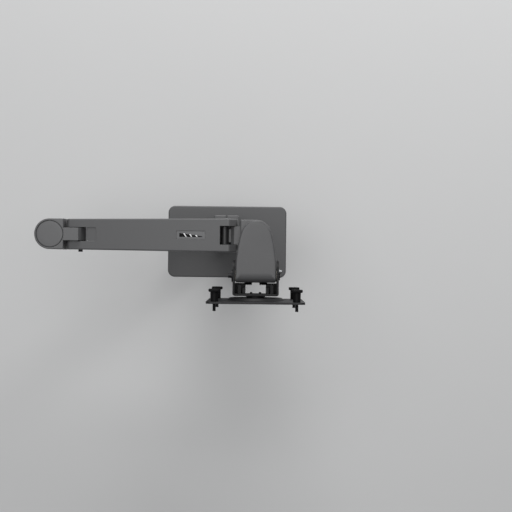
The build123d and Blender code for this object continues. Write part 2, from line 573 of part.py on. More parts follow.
cylinder_start = 46.0
cylinder_end = SPRING_REACH - 13
cylinder = rod_x(cylinder_start, cylinder_end, 0, 0, CYLINDER_R)
cylinder = fillet(cylinder.edges(), 1.0)
cylinder -= rod_x(cylinder_start - 1, cylinder_start + 5, 0, 0, ROD_R + 1.9)
cylinder -= rod_x(cylinder_start + 4, cylinder_end - 6, 0, 0, CYLINDER_R - 1.6)
cylinder += rod_x(cylinder_end - 1, SPRING_REACH - 4, 0, 0, 3.6)
cylinder += rod_y(SPRING_REACH, -3.7, 3.7, 0, 6.0)
cylinder -= rod_y(SPRING_REACH, -5, 5, 0, LINK_PIN_R + RUN_FIT)
save("gas_spring_cylinder", spring_frame * cylinder, BLACK)

carriage_face = 141.0
lean = 0.12
carriage_outline = [
    (120.0, roof_under), (120.0, 2.0), (124.0, -10.0), (132.0, -10.0),
    (carriage_face - lean * 10, -10.0), (carriage_face + lean * roof_under, roof_under),
]
carriage = side_shape(carriage_outline, 8.6)
carriage -= block(110, 136, -4.1, 4.1, -12, 6.0)
carriage -= rod_y(SPRING_PIN_S, -20, 20, SPRING_PIN_Z, LINK_PIN_R)
save("spring_anchor", ARM * carriage, GREY)
save("spring_pin", ARM * rod_y(SPRING_PIN_S, -8.6, 8.6, SPRING_PIN_Z, LINK_PIN_R), STEEL)

frame_outline = [
    (TENSION_S - 5, roof_under), (TENSION_S + 12, roof_under), (TENSION_S + 12, -16.8),
    (TENSION_S - 5, -16.8), (TENSION_S - 5, -13.8), (TENSION_S + 9, -13.8),
    (TENSION_S + 9, roof_under - 2.5), (TENSION_S - 5, roof_under - 2.5),
]
tension_frame = side_shape(frame_outline, 8.5)
tension_frame -= rod_z(TENSION_S, 0, -20, 20, TENSION_R + RUN_FIT)
save("tension_frame", ARM * tension_frame, DARK)

tension_screw = rod_z(TENSION_S, 0, -17.2, roof_under - 0.5, TENSION_R)
tension_screw += rod_z(TENSION_S, 0, -22.6, -17.1, 4.6)
tension_screw -= socket_z(TENSION_S, 0, -22.6, 3.5, 5.0, False)
save("tension_screw", ARM * tension_screw, STEEL)

nut_outline = [
    (carriage_face + 1.6 - lean * 5, -5.0), (TENSION_S + 7, -5.0), (TENSION_S + 7, 3.0),
    (carriage_face + 1.6 + lean * 3, 3.0),
]
nut = side_shape(nut_outline, 8.0) - rod_z(TENSION_S, 0, -10, 10, TENSION_R + RUN_FIT)
save("tension_nut", ARM * nut, BRASS)

# ---------------------------------------------------------------- head knuckle
head = rod_z(PAN_X, 0, HEAD_BOSS_BOTTOM, HEAD_BOSS_TOP, HEAD_BOSS_R)
head += block(PAN_X - HEAD_FLAT, PAN_X, -HEAD_BOSS_R, HEAD_BOSS_R, HEAD_CHEEK_Z, HEAD_BOSS_TOP)
head = fillet(top_edges(head, HEAD_BOSS_TOP), 1.2)
neck_left = PIVOT_B_X + 8.0
neck_outline = [
    (neck_left, 168.0), (PAN_X - 10, 160.0), (PAN_X - 10, 184.5), (neck_left + 4, 184.5), (neck_left, 180.5),
]
neck = side_shape(neck_outline, BARREL_HALF)
web_left = PIVOT_B_X - 6.5
web_outline = [
    (web_left, LINK_B_Z - 4.0), (web_left + 4, LINK_B_Z - 8.0), (PAN_X - 10, LINK_B_Z - 8.0),
    (PAN_X - 10, PIVOT_B_Z), (PIVOT_B_X, PIVOT_B_Z - 1.5), (PIVOT_B_X - 4.0, PIVOT_B_Z - 4.0), (web_left, LINK_B_Z + 4.0),
]
web = side_shape(web_outline, LINK_INNER - 0.7)
head += neck
head += web
head += rod_y(PIVOT_B_X, -BARREL_HALF, BARREL_HALF, PIVOT_B_Z, BARREL_R)
head -= rod_y(PIVOT_B_X, -20, 20, PIVOT_B_Z, PIN_R + RUN_FIT)
head -= rod_y(PIVOT_B_X, -20, 20, LINK_B_Z, LINK_PIN_R)
head -= rod_z(PAN_X, 0, HEAD_BOSS_BOTTOM + 10, HEAD_BOSS_TOP + 1, PAN_SHAFT_R)
save("head_knuckle", head, GREY)
save("link_pin_head", rod_y(PIVOT_B_X, -LINK_PIN_HALF, LINK_PIN_HALF, LINK_B_Z, LINK_PIN_R), STEEL)
save("pan_shaft", rod_z(PAN_X, 0, HEAD_BOSS_BOTTOM + 10, PAN_SHAFT_TOP, PAN_SHAFT_R), STEEL)

# ---------------------------------------------------------------- turning head
bush = rod_z(PAN_X, 0, HEAD_BOSS_TOP + 0.2, CORE_BOTTOM, HUB_R)
bush += rod_z(PAN_X, 0, HEAD_BOSS_TOP + 0.2, CORE_TOP, PAN_SHAFT_R + 2)
bush -= rod_z(PAN_X, 0, HEAD_BOSS_TOP - 1, CORE_TOP + 1, PAN_SHAFT_R + RUN_FIT)
save("pan_bush", bush, NYLON)
nut_low = CORE_TOP + 0.25
pan_nut = tube_z(PAN_X, 0, nut_low, nut_low + 1.2, 12.5, PAN_SHAFT_R)
pan_nut += Pos(PAN_X, 0, nut_low + 1.2) * extrude(RegularPolygon(10.0, 6, major_radius=False), 4.2)
pan_nut -= rod_z(PAN_X, 0, nut_low - 1, nut_low + 10, PAN_SHAFT_R)
save("pan_nut", pan_nut, STEEL)

core = rod_z(PAN_X, 0, CORE_BOTTOM, CORE_TOP, HUB_R)
core += block(PAN_X - 14, PAN_X + 14, -22, -6, CORE_BOTTOM + 2, CORE_TOP - 3)
core += block(PAN_X - 20.5, PAN_X + 20.5, -37.5, -20, CORE_BOTTOM + 3, CORE_TOP - 3)
for side in (-1, 1):
    inner = PAN_X + side * CORE_EAR_INNER
    outer = PAN_X + side * CORE_EAR_OUTER
    left, right = min(inner, outer), max(inner, outer)
    core += block(left, right, TILT_Y, -30, TILT_Z - TILT_BARREL_R, TILT_Z + TILT_BARREL_R)
    core += rod_x(left, right, TILT_Y, TILT_Z, TILT_BARREL_R)
core += block(PAN_X - 3.0, PAN_X + 3.0, TILT_Y, -30, TILT_Z - TILT_BARREL_R, TILT_Z + 2)
core += rod_x(PAN_X - CORE_EAR_OUTER, PAN_X + CORE_EAR_OUTER, TILT_Y, TILT_Z, TILT_BARREL_R)
core -= rod_z(PAN_X, 0, CORE_BOTTOM - 1, CORE_TOP + 1, PAN_SHAFT_R + 2)
core -= rod_x(PAN_X - 40, PAN_X + 40, TILT_Y, TILT_Z, TILT_BOLT_R + RUN_FIT)
save("swivel_head", core, GREY)



def shield_outline(inset):
    """Head cover seen from above: curved rear and sides, straight front."""
    right_side = []
    for (w0, y0), (w, y), (w1, y1) in zip(COVER_SIDE, COVER_SIDE[1:], COVER_SIDE[2:]):
        step = math.hypot(w1 - w0, y1 - y0)
        right_side.append((w + inset * (y1 - y0) / step, y - inset * (w1 - w0) / step))
    rear = (0.0, COVER_REAR_Y - inset)
    last = (COVER_HALF - inset, COVER_STRAIGHT_Y)
    sweep_points = [rear] + right_side + [last]
    left_points = [(PAN_X - w, y) for w, y in reversed(sweep_points[1:])]
    right_points = [(PAN_X + w, y) for w, y in sweep_points]
    curve = Spline(*(left_points + right_points), tangents=((0, 1, 0), (0, -1, 0)))
    front_y = COVER_FRONT_Y + inset
    front = Polyline((PAN_X + last[0], last[1]), (PAN_X + last[0], front_y),
                     (PAN_X - last[0], front_y), (PAN_X - last[0], last[1]))
    return make_face([curve, front])


hood = Pos(0, 0, COVER_BOTTOM_Z) * extrude(shield_outline(0), COVER_TOP_Z - COVER_BOTTOM_Z)
front_top = top_edges(hood, COVER_TOP_Z).filter_by(Axis.X)
hood = fillet(front_top, COVER_FRONT_ROUND)
hood -= Pos(0, 0, COVER_BOTTOM_Z - 1) * extrude(
    shield_outline(COVER_WALL), COVER_TOP_Z - COVER_BOTTOM_Z + 1 - COVER_WALL)
hood -= block(PAN_X - 23.0, PAN_X + 23.0, COVER_FRONT_Y - 1, COVER_FRONT_Y + 6, COVER_BOTTOM_Z - 1, COVER_LIP_Z)
notch_low = COVER_BOTTOM_Z - 1
notch = Pos(TILT_Y, (notch_low + TILT_Z) / 2) * Rectangle(2 * NOTCH_R, TILT_Z - notch_low)
notch += Pos(TILT_Y, TILT_Z) * Circle(NOTCH_R)
for side in (-1, 1):
    hood -= Pos(PAN_X + side * 24, 0, 0) * extrude(Plane.YZ * notch, 3.0, both=True)
save("head_cover", hood, GREY)

spacers = []
for side in (-1, 1):
    inner = PAN_X + side * (CORE_EAR_OUTER)
    outer = PAN_X + side * (YOKE_OUTER - YOKE_THICK - 0.1)
    spacer = rod_x(min(inner, outer), max(inner, outer), TILT_Y, TILT_Z, 7.0)
    spacers.append(spacer - rod_x(PAN_X - 40, PAN_X + 40, TILT_Y, TILT_Z, TILT_BOLT_R + RUN_FIT))
save("tilt_spacers", spacers, NYLON)

springs = []
for side in (-1, 1):
    helix = Helix(SPRING_PITCH, SPRING_LONG, SPRING_R)
    wire = sweep(Plane(helix @ 0, z_dir=helix % 0) * Circle(SPRING_WIRE_R), helix, is_frenet=True)
    start_x = PAN_X + side * SPRING_START + (0 if side > 0 else -SPRING_LONG)
    springs.append(Pos(start_x, TILT_Y, TILT_Z) * Rot(0, 90, 0) * wire)
save("tilt_springs", springs, BLACK)

# ---------------------------------------------------------------- yoke
yoke = block(PAN_X - YOKE_OUTER, PAN_X + YOKE_OUTER, YOKE_FRONT_Y, YOKE_FRONT_Y + 10,
             TILT_Z - YOKE_BASE_HALF, TILT_Z + YOKE_BASE_HALF)
uprights = yoke.edges().filter_by(Axis.Z).filter_by_position(Axis.Y, YOKE_FRONT_Y - 0.1, YOKE_FRONT_Y + 0.1)
yoke = fillet(uprights, 3.0)
ear_plate = block(PAN_X - YOKE_OUTER, PAN_X + YOKE_OUTER, YOKE_FRONT_Y + 9, TILT_Y + YOKE_EAR_BACK - YOKE_EAR_HALF,
                  TILT_Z - YOKE_EAR_HALF, TILT_Z + YOKE_EAR_HALF)
yoke += ear_plate
yoke += rod_x(PAN_X - YOKE_OUTER, PAN_X + YOKE_OUTER, TILT_Y + YOKE_EAR_BACK - YOKE_EAR_HALF, TILT_Z, YOKE_EAR_HALF)
inner_half = YOKE_OUTER - YOKE_THICK
yoke -= block(PAN_X - inner_half, PAN_X + inner_half, YOKE_FRONT_Y + YOKE_THICK, TILT_Y + 40,
              TILT_Z - 30, TILT_Z + 30)
for side in (-1, 1):
    for inner, outer, reach in ((18.3, 22.3, TILT_Y - 11.5), (13.1, 16.6, TILT_Y - 15.2)):
        near = PAN_X + side * inner
        far = PAN_X + side * outer
        yoke += block(min(near, far), max(near, far), YOKE_FRONT_Y + 1, reach,
                      TILT_Z - STUB_HALF_HIGH, TILT_Z + STUB_HALF_HIGH)
    near = PAN_X + side * 12.9
    far = PAN_X + side * (inner_half + 0.5)
    yoke += block(min(near, far), max(near, far), YOKE_FRONT_Y + 1, TILT_Y - YOKE_WEB_BACK,
                  TILT_Z - YOKE_BASE_HALF, TILT_Z - YOKE_BASE_HALF + YOKE_WEB_THICK)
yoke -= rod_x(PAN_X - 40, PAN_X + 40, TILT_Y, TILT_Z, TILT_BOLT_R)
rivet_xs = (-5.65, 5.65)
for dx in rivet_xs:
    yoke -= rod_y(PAN_X + dx, YOKE_FRONT_Y - 5, YOKE_FRONT_Y + 10, TILT_Z, 1.2)
STOP_Y = TILT_Y + 5.8
STOP_Z = TILT_Z + 7.0
yoke -= rod_x(PAN_X + 20, PAN_X + 40, STOP_Y, STOP_Z, 2.0)
save("tilt_yoke", yoke, DARK)

tilt_bolt = rod_x(PAN_X - YOKE_OUTER - 5.9, PAN_X + YOKE_OUTER, TILT_Y, TILT_Z, TILT_BOLT_R)
tilt_bolt += rod_x(PAN_X + YOKE_OUTER, PAN_X + YOKE_OUTER + 1.5, TILT_Y, TILT_Z, 5.2)
save("tilt_bolt", tilt_bolt, BLACK)
tilt_nut = rod_x(PAN_X - YOKE_OUTER - 1.6, PAN_X - YOKE_OUTER, TILT_Y, TILT_Z, 7.85)
tilt_nut -= rod_x(PAN_X - 50, PAN_X, TILT_Y, TILT_Z, TILT_BOLT_R)
save("tilt_nut", tilt_nut, BLACK)
stop_pin = rod_x(PAN_X + inner_half, PAN_X + YOKE_OUTER + 3.6, STOP_Y, STOP_Z, 2.0)
stop_pin += rod_x(PAN_X + YOKE_OUTER, PAN_X + YOKE_OUTER + 1.2, STOP_Y, STOP_Z, 3.2)
save("tilt_stop_pin", stop_pin, STEEL)

# ---------------------------------------------------------------- screen plate
spacer_back = YOKE_FRONT_Y
spacer_front = spacer_back - SPACER_THICK
disc_front = spacer_front - DISC_THICK
plate_front = disc_front - SCREEN_THICK
pivot = rod_y(PAN_X, spacer_front, spacer_back, TILT_Z, 12.0)
pivot += rod_y(PAN_X, disc_front + 0.15, spacer_front + 0.5, TILT_Z, PIVOT_STUD_R)
pivot += rod_y(PAN_X, disc_front + 0.15, disc_front + 0.15 + PIVOT_FLANGE_THICK, TILT_Z, PIVOT_FLANGE_R)
for dx in rivet_xs:
    pivot -= rod_y(PAN_X + dx, spacer_front + 0.8, spacer_back + 1, TILT_Z, 1.2)
save("rotation_pivot", pivot, DARK)
rivets = []
for dx in rivet_xs:
    rivet = rod_y(PAN_X + dx, spacer_front + 0.8, YOKE_FRONT_Y + YOKE_THICK, TILT_Z, 1.2)
    rivet += rod_y(PAN_X + dx, YOKE_FRONT_Y + YOKE_THICK, YOKE_FRONT_Y + YOKE_THICK + 2.0, TILT_Z, 1.5)
    rivets.append(rivet)
save("yoke_rivets", rivets, BLACK)

disc_gap = 0.1
disc = Pos(PAN_X, disc_front, TILT_Z) * Rot(-90, 0, 0) * Cone(
    DISC_R, DISC_R - 3.0, DISC_THICK - disc_gap, align=BOTTOM_ALIGNED)
disc -= rod_y(PAN_X, disc_front - 1, spacer_front + 1, TILT_Z, PIVOT_STUD_R + RUN_FIT)
disc -= rod_y(PAN_X, disc_front - 1, disc_front + 0.3 + PIVOT_FLANGE_THICK, TILT_Z, PIVOT_FLANGE_R + 0.1)
weld_spots = [(26 * math.cos(math.radians(a)), 26 * math.sin(math.radians(a))) for a in (45, 135, 225, 315)]
for dx, dz in weld_spots:
    disc -= rod_y(PAN_X + dx, disc_front - 1, spacer_front + 1, TILT_Z + dz, 2.0)
save("rotation_disc", disc, DARK)

screen = Pos(PAN_X, disc_front, TILT_Z) * Rot(90, 0, 0) * extrude(
    RectangleRounded(SCREEN_PLATE, SCREEN_PLATE, SCREEN_CORNER), SCREEN_THICK)
corner_signs = [(-1, 1), (1, 1), (-1, -1), (1, -1)]
for sx, sz in corner_signs:
    screen -= rod_y(PAN_X + sx * SCREW_PITCH / 2, plate_front - 5, disc_front + 5,
                    TILT_Z + sz * SCREW_PITCH / 2, SHOULDER_R + RUN_FIT)
    screen -= rod_y(PAN_X + sx * HOLE_PITCH / 2, plate_front - 5, disc_front + 5,
                    TILT_Z + sz * HOLE_PITCH / 2, HOLE_R)
for dx, dz in weld_spots:
    screen -= rod_y(PAN_X + dx, plate_front + 1.0, disc_front + 5, TILT_Z + dz, 2.0)
save("screen_plate", screen, DARK)
disc_rivets = [
    rod_y(PAN_X + dx, plate_front + 1.0, spacer_front - disc_gap, TILT_Z + dz, 2.0) for dx, dz in weld_spots
]
save("disc_rivets", disc_rivets, BLACK)

thumb_names = ("thumbscrew_upper_left", "thumbscrew_upper_right", "thumbscrew_lower_left", "thumbscrew_lower_right")
for name, (sx, sz) in zip(thumb_names, corner_signs):
    tx = PAN_X + sx * SCREW_PITCH / 2
    tz = TILT_Z + sz * SCREW_PITCH / 2
    body_back = disc_front + THUMB_BODY_LONG + 0.1
    thumb = rod_y(tx, disc_front + 0.1, body_back, tz, THUMB_BODY_R)
    grip = rod_y(tx, body_back, body_back + THUMB_HEAD_LONG, tz, THUMB_HEAD_R)
    for k in range(12):
        turn = math.radians(30 * k)
        groove_x = tx + (THUMB_HEAD_R + 0.5) * math.cos(turn)
        groove_z = tz + (THUMB_HEAD_R + 0.5) * math.sin(turn)
        grip -= rod_y(groove_x, body_back - 1, body_back + THUMB_HEAD_LONG + 1, groove_z, 1.1)
    thumb += grip
    thumb += rod_y(tx, plate_front, disc_front + 1, tz, SHOULDER_R)
    thumb += rod_y(tx, plate_front - STUD_LONG, plate_front, tz, STUD_R)
    save(name, thumb, BLACK)
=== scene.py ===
# %% [markdown]
# # A folding desk arm for a monitor
# The arm is a row of castings, pins and sheet-metal parts. Its frame comes
# ready made: every body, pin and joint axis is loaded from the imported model,
# so this lesson is about how the pieces look. Most castings keep their
# engineered mesh and get a finish. The pieces a hand touches, and those with
# threads, knurls or moulded curves, are built again here with numpy.

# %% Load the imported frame
import json
import math

import bpy
import numpy as np
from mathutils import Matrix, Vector


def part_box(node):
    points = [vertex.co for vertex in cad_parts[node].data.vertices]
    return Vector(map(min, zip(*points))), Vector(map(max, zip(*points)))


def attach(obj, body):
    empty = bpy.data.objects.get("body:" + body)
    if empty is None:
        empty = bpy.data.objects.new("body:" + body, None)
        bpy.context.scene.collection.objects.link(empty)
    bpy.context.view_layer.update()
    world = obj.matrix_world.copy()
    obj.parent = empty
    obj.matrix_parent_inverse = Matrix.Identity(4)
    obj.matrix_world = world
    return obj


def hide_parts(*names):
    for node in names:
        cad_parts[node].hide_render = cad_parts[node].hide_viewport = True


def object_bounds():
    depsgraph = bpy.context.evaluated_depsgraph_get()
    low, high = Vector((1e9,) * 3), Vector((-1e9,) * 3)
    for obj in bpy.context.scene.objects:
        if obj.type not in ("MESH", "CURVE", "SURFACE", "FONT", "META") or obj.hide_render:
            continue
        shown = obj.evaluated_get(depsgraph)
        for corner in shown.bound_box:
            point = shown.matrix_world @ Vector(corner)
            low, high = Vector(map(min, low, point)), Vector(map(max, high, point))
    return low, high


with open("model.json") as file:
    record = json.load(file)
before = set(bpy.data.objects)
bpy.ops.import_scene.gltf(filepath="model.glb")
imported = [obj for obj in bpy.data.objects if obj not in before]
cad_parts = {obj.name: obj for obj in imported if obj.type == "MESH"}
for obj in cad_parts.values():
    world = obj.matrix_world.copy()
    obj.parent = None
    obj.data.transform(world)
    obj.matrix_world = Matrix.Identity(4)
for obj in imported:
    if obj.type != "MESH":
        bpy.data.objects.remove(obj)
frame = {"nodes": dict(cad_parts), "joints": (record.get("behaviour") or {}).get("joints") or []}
cad_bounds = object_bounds()
print("frame box", [[round(v, 4) for v in corner] for corner in cad_bounds])

# %% [markdown]
# ## Skins
# A turned or moulded piece is one closed loop carried along a profile. That
# is a grid with two parameters, one round the loop and one along the profile.
# Building the whole grid as arrays keeps the poles and the seam closed, and
# the sign of the enclosed volume tells whether the faces point outwards.

# %% Turn a grid of rings into a closed mesh
MM = 0.001
SHARP_ANGLE = math.radians(38)  # edges sharper than this stay crisp
NEAR_HALF = 0.49  # most of a run that one rounded corner may take
POLE_R = 0.3  # radius in mm at which a turned profile stops short of its axis


def closed_skin(name, rings):
    """Mesh over rings[i, j]: i runs along the profile, j round the loop. The
    first and last rings close on their own centres. Faces are turned outwards
    when the summed tetrahedra give a negative volume."""
    count, around, _ = rings.shape
    points = np.concatenate([rings.reshape(-1, 3), rings[:1].mean(1), rings[-1:].mean(1)])
    i = np.arange(count - 1)[:, None] * around
    j = np.arange(around)[None, :]
    k = (j + 1) % around
    quads = np.stack([i + j, i + k, i + around + k, i + around + j], -1).reshape(-1, 4)
    ring = np.arange(around)
    step = (ring + 1) % around
    start = np.full(around, count * around)
    low = np.stack([start, step, ring], -1)
    base = (count - 1) * around
    high = np.stack([start + 1, base + ring, base + step], -1)
    halves = np.concatenate([quads[:, [0, 1, 2]], quads[:, [0, 2, 3]], low, high])
    a, b, c = points[halves[:, 0]], points[halves[:, 1]], points[halves[:, 2]]
    volume = np.einsum("ij,ij->i", a, np.cross(b, c)).sum() / 6
    if volume < 0:
        quads, low, high = quads[:, ::-1], low[:, ::-1], high[:, ::-1]
    mesh = bpy.data.meshes.new(name)
    mesh.from_pydata(points.tolist(), [], quads.tolist() + low.tolist() + high.tolist())
    mesh.shade_smooth()
    mesh.set_sharp_from_angle(angle=SHARP_ANGLE)
    piece = bpy.data.objects.new(name, mesh)
    bpy.context.scene.collection.objects.link(piece)
    print(name, "faces", len(mesh.polygons), "volume mm3", round(abs(volume) / MM ** 3, 1))
    return piece


def profile_path(corners, per_run):
    """Points (radius, height) along straight runs between corners, evenly
    spaced on each run, with both ends of every run kept."""
    corners = np.array(corners, float)
    share = np.linspace(0, 1, per_run, endpoint=False)[None, :, None]
    runs = corners[:-1, None] + (corners[1:, None] - corners[:-1, None]) * share
    return np.concatenate([runs.reshape(-1, 2), corners[-1:]])


def rounded_path(corners, radius, steps=6):
    """Corners of a profile, each inner one replaced by a short curve. The
    curve blends from the point before the corner to the point after it with
    quadratic weights, so it leaves and meets both runs smoothly."""
    corners = np.array(corners, float)
    t = np.linspace(0, 1, steps)[:, None]
    out = [corners[:1]]
    for before, corner, after in zip(corners, corners[1:], corners[2:]):
        reach_in = min(radius, NEAR_HALF * np.linalg.norm(corner - before))
        reach_out = min(radius, NEAR_HALF * np.linalg.norm(after - corner))
        start = corner + (before - corner) * reach_in / np.linalg.norm(before - corner)
        end = corner + (after - corner) * reach_out / np.linalg.norm(after - corner)
        out.append((1 - t) ** 2 * start + 2 * t * (1 - t) * corner + t ** 2 * end)
    out.append(corners[-1:])
    return np.concatenate(out)


def turned(profile, around, centre, axis="z", wave=None):
    """Rings of a body of revolution in metres. Radius and height come from
    the profile; wave(angle, radius, height) changes the radius for lobes,
    knurls or threads. axis y lays the height along +Y."""
    angle = np.linspace(0, 2 * np.pi, around, endpoint=False)[None, :]
    radius = profile[:, :1] + 0 * angle
    height = profile[:, 1:] + 0 * angle
    if wave is not None:
        radius = wave(angle, radius, height)
    flat_a = radius * np.cos(angle)
    flat_b = radius * np.sin(angle)
    parts = (flat_a, flat_b, height) if axis == "z" else (flat_a, height, flat_b)
    return np.stack(parts, -1) * MM + np.array(centre) * MM


# %% [markdown]
# ## Shared effects
# Three effects return on many finishes. Edge wear and painted highlight: paint
# is thin and rubbed on corners, and corners also catch light because no real
# corner is sharp, so the edge colour is lightened partly for the wear and partly
# as a painted highlight. A Bevel node gives a rounded normal, and where it leans
# away from the true one there is an edge. Grain: sprayed powder has a fine
# orange-peel skin and broad, faint patches. Brushing: noise stretched along one
# direction. Each is a node group, so every material places it with its own
# numbers.

# %% Group helpers
def new_group(name, inputs, outputs):
    """Empty shader group with float inputs and named outputs."""
    tree = bpy.data.node_groups.new(name, "ShaderNodeTree")
    for label, value in inputs:
        socket = tree.interface.new_socket(
            name=label, in_out="INPUT", socket_type="NodeSocketFloat")
        socket.default_value = value
    for label, kind in outputs:
        tree.interface.new_socket(name=label, in_out="OUTPUT", socket_type=kind)
    return tree, tree.nodes.new("NodeGroupInput"), tree.nodes.new("NodeGroupOutput")


def math_node(tree, operation, first, second=None, clamp=False):
    """Math node whose inputs are sockets or plain numbers."""
    node = tree.nodes.new("ShaderNodeMath")
    node.operation = operation
    node.use_clamp = clamp
    for slot, value in enumerate((first, second)):
        if value is None:
            continue
        if isinstance(value, (int, float)):
            node.inputs[slot].default_value = value
        else:
            tree.links.new(value, node.inputs[slot])
    return node.outputs[0]


def noise_node(tree, scale, detail, vector, roughness=0.5):
    """Noise texture on the given coordinates."""
    node = tree.nodes.new("ShaderNodeTexNoise")
    node.inputs["Detail"].default_value = detail
    node.inputs["Roughness"].default_value = roughness
    if isinstance(scale, (int, float)):
        node.inputs["Scale"].default_value = scale
    else:
        tree.links.new(scale, node.inputs["Scale"])
    tree.links.new(vector, node.inputs["Vector"])
    return node.outputs["Fac"]


# %% Edge wear and painted highlight group
EDGE_GAIN = 5.0  # how fast a leaning normal turns into a full edge
WEAR_SCALE = 210.0  # noise that breaks the edge up, per metre

edge_group, edge_in, edge_out = new_group(
    "edge_wear_and_highlight", [("Radius", 0.0006), ("Breakup", 0.5)],
    [("Edge", "NodeSocketFloat"), ("Normal", "NodeSocketVector")])
edge_bevel = edge_group.nodes.new("ShaderNodeBevel")
edge_bevel.samples = 6
edge_geometry = edge_group.nodes.new("ShaderNodeNewGeometry")
edge_dot = edge_group.nodes.new("ShaderNodeVectorMath")
edge_dot.operation = "DOT_PRODUCT"
edge_coords = edge_group.nodes.new("ShaderNodeTexCoord")
edge_group.links.new(edge_in.outputs["Radius"], edge_bevel.inputs["Radius"])
edge_group.links.new(edge_bevel.outputs["Normal"], edge_dot.inputs[0])
edge_group.links.new(edge_geometry.outputs["Normal"], edge_dot.inputs[1])
lean = math_node(edge_group, "SUBTRACT", 1.0, edge_dot.outputs["Value"], True)
lean = math_node(edge_group, "MULTIPLY", lean, EDGE_GAIN, True)
patchy = noise_node(edge_group, WEAR_SCALE, 4.0, edge_coords.outputs["Object"])
patchy = math_node(edge_group, "MULTIPLY", patchy, edge_in.outputs["Breakup"])
kept = math_node(edge_group, "SUBTRACT", 1.0, patchy, True)
# this mask marks where colour is lightened: partly rubbed paint, partly a painted highlight on
# corners
edge_wear_and_highlight_mask = math_node(edge_group, "MULTIPLY", lean, kept, True)
edge_group.links.new(edge_wear_and_highlight_mask, edge_out.inputs["Edge"])
edge_group.links.new(edge_bevel.outputs["Normal"], edge_out.inputs["Normal"])
print("group", edge_group.name)

# %% Powder grain group
SPECK_SCALE, SPECK_SHARE = 3600.0, 0.7  # specks are the peaks of a very fine noise

grain_group, grain_in, grain_out = new_group(
    "powder_grain", [("Fine scale", 1400.0), ("Broad scale", 22.0)],
    [("Fine", "NodeSocketFloat"), ("Broad", "NodeSocketFloat"), ("Speck", "NodeSocketFloat")])
grain_coords = grain_group.nodes.new("ShaderNodeTexCoord")
grain_place = grain_coords.outputs["Object"]
fine = noise_node(grain_group, grain_in.outputs["Fine scale"], 3.0, grain_place, 0.6)
broad = noise_node(grain_group, grain_in.outputs["Broad scale"], 5.0, grain_place)
speck = noise_node(grain_group, SPECK_SCALE, 1.0, grain_place)
speck = math_node(grain_group, "GREATER_THAN", speck, SPECK_SHARE)
grain_group.links.new(fine, grain_out.inputs["Fine"])
grain_group.links.new(broad, grain_out.inputs["Broad"])
grain_group.links.new(speck, grain_out.inputs["Speck"])
print("group", grain_group.name)

# %% Brushed lines group
BRUSH_STRETCH = 0.05  # lines run along Y, so Y changes slowest
TONE_SCALE = 60.0

brush_group, brush_in, brush_out = new_group(
    "brushed_lines", [("Fine scale", 900.0)],
    [("Lines", "NodeSocketFloat"), ("Broad", "NodeSocketFloat")])
brush_coords = brush_group.nodes.new("ShaderNodeTexCoord")
brush_map = brush_group.nodes.new("ShaderNodeMapping")
brush_map.inputs["Scale"].default_value = (1.0, BRUSH_STRETCH, 1.0)
brush_group.links.new(brush_coords.outputs["Object"], brush_map.inputs["Vector"])
lines = noise_node(
    brush_group, brush_in.outputs["Fine scale"], 4.0, brush_map.outputs["Vector"], 0.65)
tone = noise_node(brush_group, TONE_SCALE, 3.0, brush_coords.outputs["Object"])
brush_group.links.new(lines, brush_out.inputs["Lines"])
brush_group.links.new(tone, brush_out.inputs["Broad"])
print("group", brush_group.name)

# %% [markdown]
# ## Finishes
# All painted metal here is the same kind of thing: a base colour, a skin of
# grain in bump, patches that shift roughness, and edges a shade lighter, partly
# for rubbed paint and partly as a painted highlight. One function builds it from
# a few numbers, and each finish is a call to it.


# %% Material builders
ROUGH_DRIFT = 0.06  # how far patches shift the roughness of a coat
GRAIN_DEPTH = 0.0001
LINE_DEPTH = 0.00005
WIDE_EDGE, FINE_EDGE = 0.0006, 0.0003


def mix_colours(tree, factor, first, second):
    """Colour mix of two sockets or plain colours by a 0 to 1 factor."""
    node = tree.nodes.new("ShaderNodeMix")
    node.data_type = "RGBA"
    tree.links.new(factor, node.inputs["Factor"])
    for label, value in (("A", first), ("B", second)):
        socket = [s for s in node.inputs if s.name == label and s.type == "RGBA"][0]
        if isinstance(value, tuple):
            socket.default_value = (*value, 1.0)
        else:
            tree.links.new(value, socket)
    return [s for s in node.outputs if s.type == "RGBA"][0]


def range_node(tree, value, low, high):
    """Map a 0 to 1 value to low..high."""
    node = tree.nodes.new("ShaderNodeMapRange")
    node.inputs["To Min"].default_value = low
    node.inputs["To Max"].default_value = high
    tree.links.new(value, node.inputs["Value"])
    return node.outputs["Result"]


def place_group(tree, group, **values):
    """Group node with some of its inputs set."""
    node = tree.nodes.new("ShaderNodeGroup")
    node.node_tree = group
    for label, value in values.items():
        node.inputs[label.replace("_", " ")].default_value = value
    return node


